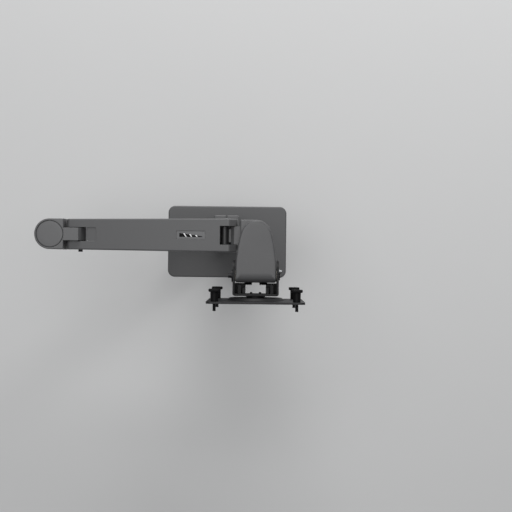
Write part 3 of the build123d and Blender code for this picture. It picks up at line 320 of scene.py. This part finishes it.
def coated(name, colour, edge_wear_and_highlight_colour, rough, peel, fine_scale=1400.0, spread=0.12,
           edge_radius=WIDE_EDGE, metallic=0.0, specular=0.5, speck_colour=None):
    """Painted, moulded or plated surface. Colour drifts a little over broad
    patches, edges are lighter, partly for rubbed paint and partly as a painted
    highlight, and fine noise gives the skin its bump."""
    material = bpy.data.materials.new(name)
    material.use_nodes = True
    tree = material.node_tree
    shader = tree.nodes["Principled BSDF"]
    grain = place_group(tree, grain_group, Fine_scale=fine_scale)
    edge = place_group(tree, edge_group, Radius=edge_radius)
    darker = tuple(c * (1 - spread) for c in colour)
    lighter = tuple(c * (1 + spread) for c in colour)
    body = mix_colours(tree, grain.outputs["Broad"], darker, lighter)
    if speck_colour is not None:
        body = mix_colours(tree, grain.outputs["Speck"], body, speck_colour)
    # edges take the lighter edge colour: partly rubbed paint, partly a painted highlight
    body = mix_colours(tree, edge.outputs["Edge"], body, edge_wear_and_highlight_colour)
    tree.links.new(body, shader.inputs["Base Color"])
    shine = range_node(tree, grain.outputs["Broad"], rough - ROUGH_DRIFT, rough + ROUGH_DRIFT)
    tree.links.new(shine, shader.inputs["Roughness"])
    bump = tree.nodes.new("ShaderNodeBump")
    bump.inputs["Strength"].default_value = peel
    bump.inputs["Distance"].default_value = GRAIN_DEPTH
    tree.links.new(grain.outputs["Fine"], bump.inputs["Height"])
    tree.links.new(edge.outputs["Normal"], bump.inputs["Normal"])
    tree.links.new(bump.outputs["Normal"], shader.inputs["Normal"])
    shader.inputs["Metallic"].default_value = metallic
    shader.inputs["Specular IOR Level"].default_value = specular
    return material


def brushed(name, colour, rough):
    """Plated or turned metal with fine lines that vary its roughness. Patches
    are darker by a fifth, edges lighter by a quarter, partly for rubbed metal
    and partly as a painted highlight."""
    patch_shade, edge_wear_and_highlight_gain = 0.82, 1.25
    smoothest, roughest = rough - 0.1, rough + 0.12
    material = bpy.data.materials.new(name)
    material.use_nodes = True
    tree = material.node_tree
    shader = tree.nodes["Principled BSDF"]
    brush = place_group(tree, brush_group)
    edge = place_group(tree, edge_group, Radius=FINE_EDGE)
    darker = tuple(c * patch_shade for c in colour)
    lighter = tuple(min(1.0, c * edge_wear_and_highlight_gain) for c in colour)
    tone = mix_colours(tree, brush.outputs["Broad"], darker, colour)
    # edges take the lighter tone: partly rubbed metal, partly a painted highlight
    tone = mix_colours(tree, edge.outputs["Edge"], tone, lighter)
    tree.links.new(tone, shader.inputs["Base Color"])
    shine = range_node(tree, brush.outputs["Lines"], smoothest, roughest)
    tree.links.new(shine, shader.inputs["Roughness"])
    bump = tree.nodes.new("ShaderNodeBump")
    bump.inputs["Strength"].default_value = 0.12
    bump.inputs["Distance"].default_value = LINE_DEPTH
    tree.links.new(brush.outputs["Lines"], bump.inputs["Height"])
    tree.links.new(edge.outputs["Normal"], bump.inputs["Normal"])
    tree.links.new(bump.outputs["Normal"], shader.inputs["Normal"])
    shader.inputs["Metallic"].default_value = 1.0
    return material


# %% The finishes of this arm
arm_paint = coated(
    "graphite_arm_paint", (0.078, 0.078, 0.080), (0.145, 0.145, 0.148),
    rough=0.44, peel=0.22, fine_scale=1300.0, spread=0.05, specular=0.45)
# painted shade: the arm's graphite made a shade darker for the shade on the plate; the coarser
# peel and roughness are the coat's own
base_paint = coated(
    "graphite_base_paint", (0.073, 0.073, 0.075), (0.135, 0.135, 0.138),
    rough=0.48, peel=0.35, fine_scale=900.0, spread=0.06, specular=0.4)
hood_plastic = coated(
    "graphite_hood_plastic", (0.053, 0.053, 0.055), (0.115, 0.115, 0.118),
    rough=0.40, peel=0.25, fine_scale=1800.0, spread=0.04, specular=0.45)
yoke_paint = coated(
    "black_yoke_paint", (0.0065, 0.0065, 0.0070), (0.020, 0.020, 0.021),
    rough=0.44, peel=0.30, fine_scale=1200.0, spread=0.15, specular=0.16)
plate_paint = coated(
    "black_plate_paint", (0.012, 0.012, 0.013), (0.034, 0.034, 0.036),
    rough=0.46, peel=0.40, fine_scale=1000.0, spread=0.15, specular=0.25)
black_moulding = coated(
    "black_moulding", (0.0035, 0.0035, 0.0038), (0.012, 0.012, 0.013),
    rough=0.50, peel=0.30, fine_scale=1600.0, spread=0.20, specular=0.12)
black_oxide = coated(
    "black_oxide_steel", (0.006, 0.006, 0.007), (0.05, 0.05, 0.053),
    rough=0.36, peel=0.15, fine_scale=2000.0, spread=0.25, edge_radius=FINE_EDGE,
    metallic=0.3, specular=0.25)
clamp_rubber = coated(
    "desk_rubber", (0.012, 0.012, 0.012), (0.022, 0.022, 0.022),
    rough=0.78, peel=0.9, fine_scale=1100.0, spread=0.2, edge_radius=0.0004,
    specular=0.2, speck_colour=(0.020, 0.020, 0.020))
nylon = coated(
    "natural_nylon", (0.56, 0.54, 0.48), (0.66, 0.64, 0.58),
    rough=0.45, peel=0.2, fine_scale=1500.0, spread=0.05)
label_film = coated(
    "grey_label_film", (0.092, 0.092, 0.095), (0.130, 0.130, 0.133),
    rough=0.36, peel=0.08, fine_scale=2500.0, spread=0.04)
label_ink = coated(
    "label_ink", (0.0025, 0.0025, 0.0025), (0.004, 0.004, 0.004),
    rough=0.50, peel=0.05, fine_scale=2500.0, spread=0.2, specular=0.1)
label_white = coated(
    "label_white", (0.75, 0.75, 0.75), (0.80, 0.80, 0.80),
    rough=0.42, peel=0.05, fine_scale=2500.0, spread=0.03)
brass = coated(
    "turned_brass", (0.50, 0.36, 0.14), (0.66, 0.50, 0.24),
    rough=0.30, peel=0.12, fine_scale=1500.0, spread=0.1, edge_radius=FINE_EDGE, metallic=1.0)
bright_steel = brushed("plated_steel", (0.58, 0.59, 0.61), rough=0.30)
dull_zinc = brushed("dull_zinc", (0.26, 0.265, 0.27), rough=0.46)
print("finishes", len(bpy.data.materials))

# %% [markdown]
# ## Dressing the engineered nodes
# A node whose shape is right only needs the right finish, so one table says
# which finish each node wears. Nodes that are rebuilt below get theirs too,
# because the table is also the list of what the arm is made of.

# %% Finish of every node
finish_of = {
    "arm": (arm_paint, ["upper_arm_shell", "lower_arm", "elbow_knuckle", "head_knuckle",
                        "post_collar", "swivel_head", "elbow_cap"]),
    "hood": (hood_plastic, ["head_cover"]),
    "base": (base_paint, ["base_plate", "clamp_bracket"]),
    "dark": (yoke_paint, ["tilt_yoke", "rotation_pivot", "rotation_disc", "lower_link",
                          "spring_anchor", "tension_frame", "clamp_foot", "post"]),
    "plate": (plate_paint, ["screen_plate"]),
    "moulding": (black_moulding, ["clamp_knob", "post_cap", "cable_cover", "cable_clips",
                                  "upper_arm_cover", "thumbscrew_upper_left",
                                  "thumbscrew_upper_right", "thumbscrew_lower_left",
                                  "thumbscrew_lower_right"]),
    "oxide": (black_oxide, ["pivot_pin_elbow", "pivot_pin_head", "gas_spring_cylinder",
                            "tilt_springs", "tilt_bolt", "tilt_nut", "yoke_rivets",
                            "disc_rivets"]),
    "zinc": (dull_zinc, ["collar_screw", "tilt_stop_pin"]),
    "steel": (bright_steel, ["bracket_screws", "post_screws", "clamp_spindle", "elbow_shaft",
                             "elbow_washer", "elbow_bolt", "link_pin_elbow", "link_pin_head",
                             "spring_pin", "tension_screw", "gas_spring_rod", "pan_shaft",
                             "pan_nut"]),
    "rubber": (clamp_rubber, ["base_pad", "clamp_foot_rubber"]),
    "nylon": (nylon, ["post_bushes", "elbow_bushes", "pan_bush", "tilt_spacers"]),
    "film": (label_film, ["gauge_label"]),
    "ink": (label_ink, ["gauge_marks"]),
    "brass": (brass, ["tension_nut"]),
}


def dress(piece, material):
    """Give a piece one material in every slot."""
    piece.data.materials.clear()
    piece.data.materials.append(material)


dressed = set()
for material, names in finish_of.values():
    for name in names:
        dress(frame["nodes"][name], material)
        dressed.add(name)
print("dressed", len(dressed), "left bare", sorted(set(frame["nodes"]) - dressed))

# %% [markdown]
# ## Painted shade on the hinge barrel of the head casting
# The hinge barrel of the head casting lies deep in its slot, so its colour is
# darkened to near black as painted shade. Nothing marks it in the mesh: it is
# the zone close to the hinge axis, so a distance in X and Z from that axis makes
# the mask.


# %% Paint shade on the hinge barrel
def joint_place(name):
    """Place in metres of a joint of the frame."""
    return [j for j in frame["joints"] if j["name"] == name][0]["pos_m"]


BARREL_REACH = 0.0053  # just past the hinge barrel's own radius
# near-black colour of the painted shade on the barrel
BARREL_SHADE_COLOUR = (0.016, 0.016, 0.017)

arm_paint_with_barrel_shade = arm_paint.copy()
arm_paint_with_barrel_shade.name = "graphite_with_painted_barrel_shade"
tree = arm_paint_with_barrel_shade.node_tree
axis_place = joint_place("head_level")
coords = tree.nodes.new("ShaderNodeTexCoord")
centred = tree.nodes.new("ShaderNodeMapping")
centred.inputs["Location"].default_value = (-axis_place[0], 0.0, -axis_place[2])
flattened = tree.nodes.new("ShaderNodeVectorMath")
flattened.operation = "MULTIPLY"
flattened.inputs[1].default_value = (1.0, 0.0, 1.0)
reach = tree.nodes.new("ShaderNodeVectorMath")
reach.operation = "LENGTH"
tree.links.new(coords.outputs["Object"], centred.inputs["Vector"])
tree.links.new(centred.outputs["Vector"], flattened.inputs[0])
tree.links.new(flattened.outputs["Vector"], reach.inputs[0])
# painted shade: inside this reach the paint colour is swapped for the near-black shade colour
barrel_shade_mask = math_node(tree, "LESS_THAN", reach.outputs["Value"], BARREL_REACH)
shader = tree.nodes["Principled BSDF"]
painted = shader.inputs["Base Color"].links[0].from_socket
shaded_barrel_colour = mix_colours(tree, barrel_shade_mask, painted, BARREL_SHADE_COLOUR)
tree.links.new(shaded_barrel_colour, shader.inputs["Base Color"])
dress(frame["nodes"]["head_knuckle"], arm_paint_with_barrel_shade)
print("barrel axis", [round(v, 4) for v in axis_place])

# %% [markdown]
# ## Sizes shared with the frame
# The rebuilt pieces take their places from the frame's own boxes, so they
# can't drift from the pins and bores they belong to.

# %% Read the places of the rebuilt pieces
hood_low, hood_high = np.array(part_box("head_cover")) / MM
bolt_low, bolt_high = np.array(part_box("tilt_bolt")) / MM
pan_x = (hood_low[0] + hood_high[0]) / 2
tilt_y = (bolt_low[1] + bolt_high[1]) / 2
tilt_z = (bolt_low[2] + bolt_high[2]) / 2
print("pan axis x", round(pan_x, 2), "tilt axis y z", round(tilt_y, 2), round(tilt_z, 2))

# %% [markdown]
# ## The head's moulded hood
# The hood over the turning head is one injection moulding: a shield outline,
# thin walls, a soft rim on top and a front edge that rolls down. It could be
# a box with a bevel, but the notches for the tilt bolt and the open front
# would then be cuts with sharp lips. Here the outline is a closed curve and
# the wall is a profile carried round it, whose lower edge rises and falls.


# %% Outline of the hood
def smooth_through(points, per_span):
    """Curve through points with Catmull-Rom weights: each span blends four
    neighbours, so the curve passes every point without corners."""
    points = np.array(points, float)
    ghost = np.concatenate([2 * points[:1] - points[1:2], points, 2 * points[-1:] - points[-2:-1]])
    t = np.linspace(0, 1, per_span, endpoint=False)[:, None, None]
    a, b, c, d = ghost[:-3], ghost[1:-2], ghost[2:-1], ghost[3:]
    curve = 0.5 * (2 * b + (c - a) * t + (2 * a - 5 * b + 4 * c - d) * t ** 2
                   + (3 * b - a - 3 * c + d) * t ** 3)
    return np.concatenate([curve.transpose(1, 0, 2).reshape(-1, 2), points[-1:]])


def even_loop(points, count):
    """Closed loop resampled at equal steps along its length."""
    closed = np.concatenate([points, points[:1]])
    along = np.concatenate([[0], np.cumsum(np.linalg.norm(np.diff(closed, axis=0), axis=1))])
    want = np.linspace(0, along[-1], count, endpoint=False)
    return np.stack([np.interp(want, along, closed[:, axis]) for axis in (0, 1)], -1)


def inward(loop, distance):
    """Loop moved inwards along its own normals by a distance. The sign of
    its area tells which side is the inner one."""
    tangent = np.roll(loop, -1, axis=0) - np.roll(loop, 1, axis=0)
    tangent /= np.linalg.norm(tangent, axis=1)[:, None]
    normal = np.stack([-tangent[:, 1], tangent[:, 0]], -1)
    following = np.roll(loop, -1, axis=0)
    area = 0.5 * np.sum(loop[:, 0] * following[:, 1] - following[:, 0] * loop[:, 1])
    return loop + normal * distance * np.sign(area)


HOOD_CORNER = 2.6  # radius of the two front corners
HOOD_POINTS = 420

hood_half = (hood_high[0] - hood_low[0]) / 2
hood_front = hood_low[1]
right_side = [(0.0, 18.3), (9.5, 15.6), (17.4, 6.3), (21.6, -9.0), (24.2, -26.0),
              (hood_half, -40.0)]
rear_curve = smooth_through([(-x, y) for x, y in right_side[:0:-1]] + right_side, 24)
corner_turn = np.linspace(0, np.pi / 2, 12)[:, None]
right_corner = np.concatenate([hood_half - HOOD_CORNER + HOOD_CORNER * np.cos(corner_turn),
                               hood_front + HOOD_CORNER - HOOD_CORNER * np.sin(corner_turn)], 1)
left_corner = right_corner[::-1] * [-1, 1]
hood_loop = even_loop(np.concatenate([rear_curve, right_corner, left_corner]), HOOD_POINTS)
print("hood front", round(hood_front, 2), "half width", round(hood_half, 2))


# %% Wall of the hood carried round the outline
def hood_rings():
    """Rings from the middle of the inner roof, down the inner wall, round
    its lower lip, up the outer wall, over the soft rim to the middle of the
    roof. The lower edge rises over the tilt bolt in a half circle and is
    lifted along the open front; the roof rolls down in a quarter circle
    over the last few millimetres before the front."""
    wall, rim, roll, fillet = 2.0, 1.7, 6.0, 0.8
    notch_r, notch_from = 8.0, 20.0
    lip_depth, lip_half, lip_drop = 1.2, 23.0, 3.7
    roll_zone = 8.0
    centre = np.array([0.0, -22.0])
    low, high = hood_low[2], hood_high[2]
    side, front = np.abs(hood_loop[:, 0]), hood_loop[:, 1]
    reach = np.abs(front - tilt_y)
    notch = np.where((reach < notch_r) & (side > notch_from),
                     tilt_z + np.sqrt(np.clip(notch_r ** 2 - reach ** 2, 0, None)), low)
    lip = np.where((front < hood_front + lip_depth) & (side < lip_half), high - lip_drop, low)
    lower = np.maximum(notch, lip)
    level = np.zeros_like(lower)
    inner, top = inward(hood_loop, wall), inward(hood_loop, rim)
    ceiling = high - wall
    rings = [(centre + (inner - centre) * share, level + ceiling)
             for share in (0.02, 0.25, 0.5, 0.75, 0.92)]
    rings.append((inward(hood_loop, wall + fillet), level + ceiling))
    rings += [(inner, lower + (ceiling - fillet - lower) * share) for share in (1.0, 0.5, 0.0)]
    rings.append((inward(hood_loop, wall / 2), lower))
    rings += [(hood_loop, lower + (high - rim - lower) * share) for share in (0.0, 0.04, 0.5, 1.0)]
    for angle in np.linspace(0, np.pi / 2, 7)[1:]:
        rings.append((inward(hood_loop, rim * (1 - math.cos(angle))),
                      level + high - rim + rim * math.sin(angle)))
    rings += [(centre + (top - centre) * share, level + high)
              for share in (0.9, 0.7, 0.5, 0.25, 0.02)]
    xy = np.array([ring[0] for ring in rings])
    z = np.array([ring[1] for ring in rings])
    into = np.clip(hood_front + roll - xy[..., 1], 0, roll)
    drop = roll - np.sqrt(roll ** 2 - into ** 2)
    share_rolled = np.clip((z - (high - roll_zone)) / roll_zone, 0, 1)
    z = np.maximum(z - drop * share_rolled, low)
    return np.concatenate([xy + [pan_x, 0], z[..., None]], -1) * MM


hood = closed_skin("head_hood", hood_rings())
dress(hood, hood_plastic)
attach(hood, "swivel_head")
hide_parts("head_cover")

# %% [markdown]
# ## Elbow cap
# A pressed-in cap closes the elbow. It is a low dome with a soft edge, set
# a hair below the casting's rim so a dark ring shows round it.

# %% Turn the elbow cap
cap_low, cap_high = np.array(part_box("elbow_cap")) / MM
elbow_x = (cap_low[0] + cap_high[0]) / 2
cap_r = (cap_high[0] - cap_low[0]) / 2
cap_top = cap_high[2]
plug_r, disc_thick = 12.4, 2.8
cap_corners = [
    (POLE_R, cap_low[2]), (plug_r - 0.1, cap_low[2]), (plug_r, cap_top - disc_thick),
    (cap_r, cap_top - disc_thick), (cap_r, cap_top - 0.6), (cap_r - 1.0, cap_top - 0.15),
    (cap_r - 6, cap_top), (POLE_R, cap_top)]
cap = closed_skin(
    "elbow_dome_cap", turned(rounded_path(cap_corners, 0.7), 96, (elbow_x, 0, 0)))
dress(cap, arm_paint)
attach(cap, "elbow")
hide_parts("elbow_cap")

# %% [markdown]
# ## Clamp knob and threaded spindle
# The knob is a moulded hand wheel with six lobes. Cutting six holes from a
# disc leaves hard edges, so the radius is a wave round the axis instead and
# fades out towards the hub. The spindle's thread is a wave too: it advances
# one pitch for each turn, which makes a true helix in a single skin.

# %% Six-lobed knob
knob_low, knob_high = np.array(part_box("clamp_knob")) / MM
spindle_y = (knob_low[1] + knob_high[1]) / 2
knob_r = (knob_high[1] - knob_low[1]) / 2
knob_base, knob_top = knob_low[2], knob_high[2]
LOBES, LOBE_DEPTH, LOBE_START = 6, 5.2, 0.45


def lobes(angle, radius, height):
    """Six lobes: the rim dips between them by a raised cosine wave, and the
    dip fades to nothing towards the hub, inside LOBE_START of the radius."""
    fade = np.clip((radius / knob_r - LOBE_START) / (1 - LOBE_START), 0, 1) ** 1.5
    dip = (0.5 - 0.5 * np.cos(LOBES * angle + np.pi)) ** 1.3
    return radius - LOBE_DEPTH * fade * dip


dish, hub_r, bore_r, bore_deep = 1.4, 8.6, 5.15, 6.0
grip_r = knob_r - 0.05
knob_corners = [
    (POLE_R, knob_base + dish), (11, knob_base + dish), (13, knob_base), (knob_r - 2, knob_base),
    (grip_r, knob_base + 3), (grip_r, knob_top - 8), (knob_r - 3, knob_top - 5),
    (10, knob_top - 4.6), (hub_r, knob_top - 0.2), (bore_r, knob_top),
    (bore_r, knob_top - bore_deep), (POLE_R, knob_top - bore_deep)]
knob = closed_skin("clamp_hand_knob", turned(
    rounded_path(knob_corners, 1.3), 216, (0, spindle_y, 0), wave=lobes))
dress(knob, black_moulding)
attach(knob, "clamp_spindle")
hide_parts("clamp_knob")

# %% Threaded spindle
rod_low, rod_high = np.array(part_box("clamp_spindle")) / MM


def threaded(pitch, depth, low, high, fade):
    """Wave for a thread: the radius falls in a triangle wave of the height
    less the turned share of a pitch, and the thread fades at both ends. The
    wave is steepened and cut off, which gives flat roots and crests."""
    steepness, crest_flat = 2.6, 0.15

    def wave(angle, radius, height):
        phase = (height / pitch - angle / (2 * np.pi)) % 1.0
        flank = np.clip(np.abs(phase - 0.5) * steepness - crest_flat, 0, 1)
        ends = np.clip((height - low) / fade, 0, 1) * np.clip((high - height) / fade, 0, 1)
        return radius - depth * flank * ends
    return wave


rod_r, pin_r = 5.0, 3.95
rod_pole_r = 0.2
pitch, thread_depth, ring_step = 1.5, 0.62, 0.2
rod_base, rod_top = rod_low[2], rod_high[2]
thread_low, thread_high = rod_base + 22, rod_top - 8
thread_heights = np.arange(thread_low, thread_high, ring_step)
rod_profile = np.concatenate([
    profile_path([(rod_pole_r, rod_base), (rod_r - 0.4, rod_base), (rod_r, rod_base + 0.5),
                  (rod_r, thread_low - ring_step)], 4),
    np.stack([np.full_like(thread_heights, rod_r), thread_heights], -1),
    profile_path([(rod_r, thread_high), (rod_r, rod_top - 4.6), (pin_r, rod_top - 4.2),
                  (pin_r, rod_top - 0.6), (3.4, rod_top), (rod_pole_r, rod_top)], 3),
])
spindle = closed_skin("clamp_threaded_spindle", turned(
    rod_profile, 60, (0, spindle_y, 0),
    wave=threaded(pitch, thread_depth, thread_low, thread_high, pitch)))
dress(spindle, bright_steel)
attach(spindle, "clamp_spindle")
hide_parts("clamp_spindle")

# %% [markdown]
# ## Thumbscrews of the screen plate
# Four thumbscrews, black all over, hold the screen. The head has a straight
# knurl, the body is a plain barrel, and the stud in front is threaded. All
# three are one turned profile; the knurl and the thread are waves that act
# only over their own part of the length.


# %% Knurl and thread in one wave
STUD_R, SHOULDER_R, BODY_R, HEAD_R = 1.98, 2.46, 4.72, 7.08
STUD_PITCH, STUD_DEPTH = 0.7, 0.22
FLUTES, FLUTE_DEPTH = 24, 0.5
KNURL_FROM, KNURL_FADE = 6.2, 0.4  # the flutes deepen over this much radius
HELIX_FROM, HELIX_TO = 1.5, 2.3  # radii between which the stud's helix acts


def thumb_wave(head_start, stud_start, stud_end):
    """Flutes on the head as a squared raised cosine, a fine helix on the
    stud, nothing on the barrel between them. Heights run along +Y, so the
    stud is low."""
    stud = threaded(STUD_PITCH, STUD_DEPTH, stud_start, stud_end, STUD_PITCH)

    def wave(angle, radius, height):
        flute = (0.5 + 0.5 * np.cos(FLUTES * angle)) ** 2
        grip = np.clip((radius - KNURL_FROM) / KNURL_FADE, 0, 1) * (height > head_start)
        radius = radius - FLUTE_DEPTH * flute * grip
        on_stud = (height < stud_end) & (radius > HELIX_FROM) & (radius < HELIX_TO)
        return np.where(on_stud, stud(angle, radius, height), radius)
    return wave


# %% Turn the four thumbscrews
HEAD_LENGTH, BODY_LENGTH, SHOULDER_LENGTH = 3.7, 11.6, 2.6
DIMPLE = 0.7  # depth of the dish in the head's outer face
SCREW_POLE_R = 0.15

for corner_name in ("upper_left", "upper_right", "lower_left", "lower_right"):
    node = "thumbscrew_" + corner_name
    low, high = np.array(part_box(node)) / MM
    middle = (low + high) / 2
    tip, tail = low[1], high[1]
    head_start = tail - HEAD_LENGTH
    barrel_front = head_start - BODY_LENGTH
    stud_end = barrel_front - SHOULDER_LENGTH
    stud_start = tip + 0.5
    stud_heights = np.arange(stud_start, stud_end - 0.05, 0.09)
    outline = np.concatenate([
        [(SCREW_POLE_R, tip), (1.6, tip), (STUD_R, tip + 0.4)],
        np.stack([np.full_like(stud_heights, STUD_R), stud_heights], -1),
        rounded_path([
            (STUD_R, stud_end), (SHOULDER_R, stud_end), (SHOULDER_R, barrel_front),
            (4.3, barrel_front), (BODY_R, barrel_front + 0.5), (BODY_R, head_start - 0.3),
            (6.3, head_start), (HEAD_R, head_start + 0.5), (HEAD_R, tail - 0.6), (6.4, tail),
            (3.4, tail), (3.0, tail - DIMPLE), (SCREW_POLE_R, tail - DIMPLE)], 0.35, 4),
    ])
    screw = closed_skin("thumb_" + corner_name, turned(
        outline, 120, (middle[0], 0, middle[2]), "y",
        thumb_wave(head_start, stud_start, stud_end)))
    dress(screw, black_moulding)
    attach(screw, node)
    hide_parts(node)

# %% [markdown]
# ## Tilt springs
# Two torsion springs carry the screen's weight about the tilt bolt. A spring
# is one round wire, so it is a circle carried along a path: a helix that
# leaves on its own tangent at both ends, which gives the short legs.


# %% Wind the tilt springs
def wire_along(path, radius, around):
    """Rings of a round wire in metres. Each ring lies across the path: its
    two directions are the path's tangent crossed with +X and that result
    crossed with the tangent again, so they turn smoothly along the wire."""
    tangent = np.gradient(path, axis=0)
    tangent /= np.linalg.norm(tangent, axis=1)[:, None]
    first = np.cross(tangent, [1.0, 0.0, 0.0])
    first /= np.linalg.norm(first, axis=1)[:, None]
    second = np.cross(tangent, first)
    angle = np.linspace(0, 2 * np.pi, around, endpoint=False)[None, :, None]
    across = first[:, None] * np.cos(angle) + second[:, None] * np.sin(angle)
    return (path[:, None] + radius * across) * MM


WIRE_R, TURNS = 1.12, 3.92
COIL_FROM, COIL_TO = 5.4, 14.6  # coil's ends, out from the pan axis
INNER_LEG, OUTER_LEG = 4.0, 6.0
WIRE_MARGIN = 1.15  # half the height of the node's box less this is the coil's radius

spring_low, spring_high = np.array(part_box("tilt_springs")) / MM
coil_r = (spring_high[2] - spring_low[2]) / 2 - WIRE_MARGIN
for side, label in ((-1, "left"), (1, "right")):
    share = np.linspace(0, 1, 300)[:, None]
    inner_x, outer_x = pan_x + side * COIL_FROM, pan_x + side * COIL_TO
    sweep = -np.pi / 2 + 2 * np.pi * TURNS * (1 - share)
    coil = np.concatenate([inner_x + (outer_x - inner_x) * share, tilt_y + coil_r * np.cos(sweep),
                           tilt_z + coil_r * np.sin(sweep)], 1)
    ends = []
    for point, neighbour, length in ((coil[0], coil[1], INNER_LEG),
                                     (coil[-1], coil[-2], OUTER_LEG)):
        away = (point - neighbour) / np.linalg.norm(point - neighbour)
        ends.append(point + away * length * np.linspace(0.08, 1, 12)[:, None])
    wire = np.concatenate([ends[0][::-1], coil, ends[1]])
    spring = closed_skin("tilt_spring_" + label, wire_along(wire, WIRE_R, 14))
    dress(spring, black_oxide)
    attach(spring, "swivel_head")
    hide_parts("tilt_springs")

# %% [markdown]
# ## Tension gauge print
# A black wedge on the label shows how the spring's tension grows, cut by
# three white slashes. The slashes are ink on the film, a few hundredths
# thick, so each is a tiny cushion: flat in the middle, falling at its rim.


# %% Print the white slashes
SLASH_STEP, SLASH_HALF_WIDE = 7.5, 0.95
LONGEST_HALF, SHORTER_BY = 2.35, 0.62  # each slash is shorter than the one before
FIRST_MIDDLE, MIDDLE_STEP = -0.2, -0.5  # and sits further to one side
SLASH_LEAN = 0.7  # run along the arm for each millimetre across it
CORNER_POWER = 0.4  # below 1 it squares an ellipse towards a rounded bar
FILM_GAP = 0.02

along = np.array(joint_place("head_level")) - np.array(joint_place("arm_lift"))
along /= np.linalg.norm(along)
above = np.array([-along[2], 0.0, along[0]])
mark_low, mark_high = np.array(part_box("gauge_marks")) / MM
mark_middle = (mark_low + mark_high) / 2
for number, shift in enumerate((-SLASH_STEP, 0.0, SLASH_STEP)):
    half_long = LONGEST_HALF - SHORTER_BY * number
    loop_angle = np.linspace(0, 2 * np.pi, 64, endpoint=False)
    turn_u, turn_v = np.cos(loop_angle), np.sin(loop_angle)
    u = SLASH_HALF_WIDE * np.sign(turn_u) * np.abs(turn_u) ** CORNER_POWER
    v = half_long * np.sign(turn_v) * np.abs(turn_v) ** CORNER_POWER
    middle_v = FIRST_MIDDLE + MIDDLE_STEP * number
    levels = [(0.05, 0.0), (1.0, 0.0), (1.0, 0.05), (0.9, 0.09), (0.5, 0.1), (0.05, 0.1)]
    size = np.array([level[0] for level in levels])[:, None]
    lift = np.array([level[1] for level in levels])[:, None] + 0 * u
    run = (u - SLASH_LEAN * v)[None] * size + shift
    cross = v[None] * size + middle_v
    slash = closed_skin("gauge_slash_%d" % number, (
        mark_middle + run[..., None] * along + cross[..., None] * np.array([0.0, 1.0, 0.0])
        + (lift + FILM_GAP)[..., None] * above) * MM)
    dress(slash, label_white)
    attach(slash, "upper_arm")

# %% [markdown]
# ## Floor, light and camera
# A plain pale floor lies under the clamp, low enough for the clamp's full
# travel. Soft daylight comes from above and behind the arm, with a small
# lamp at the right, so rear edges are bright and front faces stay calm. The
# camera looks straight down.

# %% Pale floor
FLOOR_DROP = 0.027  # a little more than the knob sinks when the clamp opens fully
FLOOR_REACH = 6.0

floor_z = cad_bounds[0][2] - FLOOR_DROP
floor_mesh = bpy.data.meshes.new("pale_floor")
floor_mesh.from_pydata(
    [(x * FLOOR_REACH, y * FLOOR_REACH, floor_z) for x, y in ((-1, -1), (1, -1), (1, 1), (-1, 1))],
    [], [(0, 1, 2, 3)])
floor = bpy.data.objects.new("pale_floor", floor_mesh)
bpy.context.scene.collection.objects.link(floor)
floor_paint = coated(
    "pale_floor_paint", (0.50, 0.50, 0.50), (0.50, 0.50, 0.50),
    rough=0.7, peel=0.05, fine_scale=400.0, spread=0.01)
dress(floor, floor_paint)
print("floor at", round(floor_z, 4))

# %% Soft light
world = bpy.data.worlds.new("soft_room")
world.use_nodes = True
sky = world.node_tree.nodes["Background"]
sky.inputs["Color"].default_value = (0.96, 0.98, 1.0, 1.0)
sky.inputs["Strength"].default_value = 0.28
bpy.context.scene.world = world


def panel(name, place, aim, size, power):
    """Square area light at a place, turned to an aim point."""
    light = bpy.data.lights.new(name, "AREA")
    light.size = size
    light.energy = power
    lamp = bpy.data.objects.new(name, light)
    lamp.location = place
    to_aim = Vector(aim) - Vector(place)
    lamp.rotation_euler = to_aim.to_track_quat("-Z", "Y").to_euler()
    bpy.context.scene.collection.objects.link(lamp)
    print("light", name, "power", power)


panel("window_behind", (-0.1, 2.3, 1.0), (0, 0, 0.1), 1.5, 52)
panel("ceiling_soft", (-0.2, 0.4, 2.7), (0, 0, 0), 2.0, 38)
panel("rim_right", (1.5, 1.3, 0.5), (0, 0, 0.18), 0.3, 11)
panel("front_fill", (0.2, -2.0, 1.6), (0, 0, 0.1), 1.6, 2)

# %% Camera straight above
EYE_PLACE = (0.042, -0.026, 1.555)
EYE_ROLL = math.radians(0.65)

eye = bpy.data.cameras.new("top_camera")
eye.lens = 75.0
eye.sensor_width = 36.0
camera = bpy.data.objects.new("top_camera", eye)
camera.location = EYE_PLACE
camera.rotation_euler = (0.0, 0.0, EYE_ROLL)
bpy.context.scene.collection.objects.link(camera)
bpy.context.scene.camera = camera
bpy.context.scene.view_settings.view_transform = "Standard"
print("camera at", EYE_PLACE)
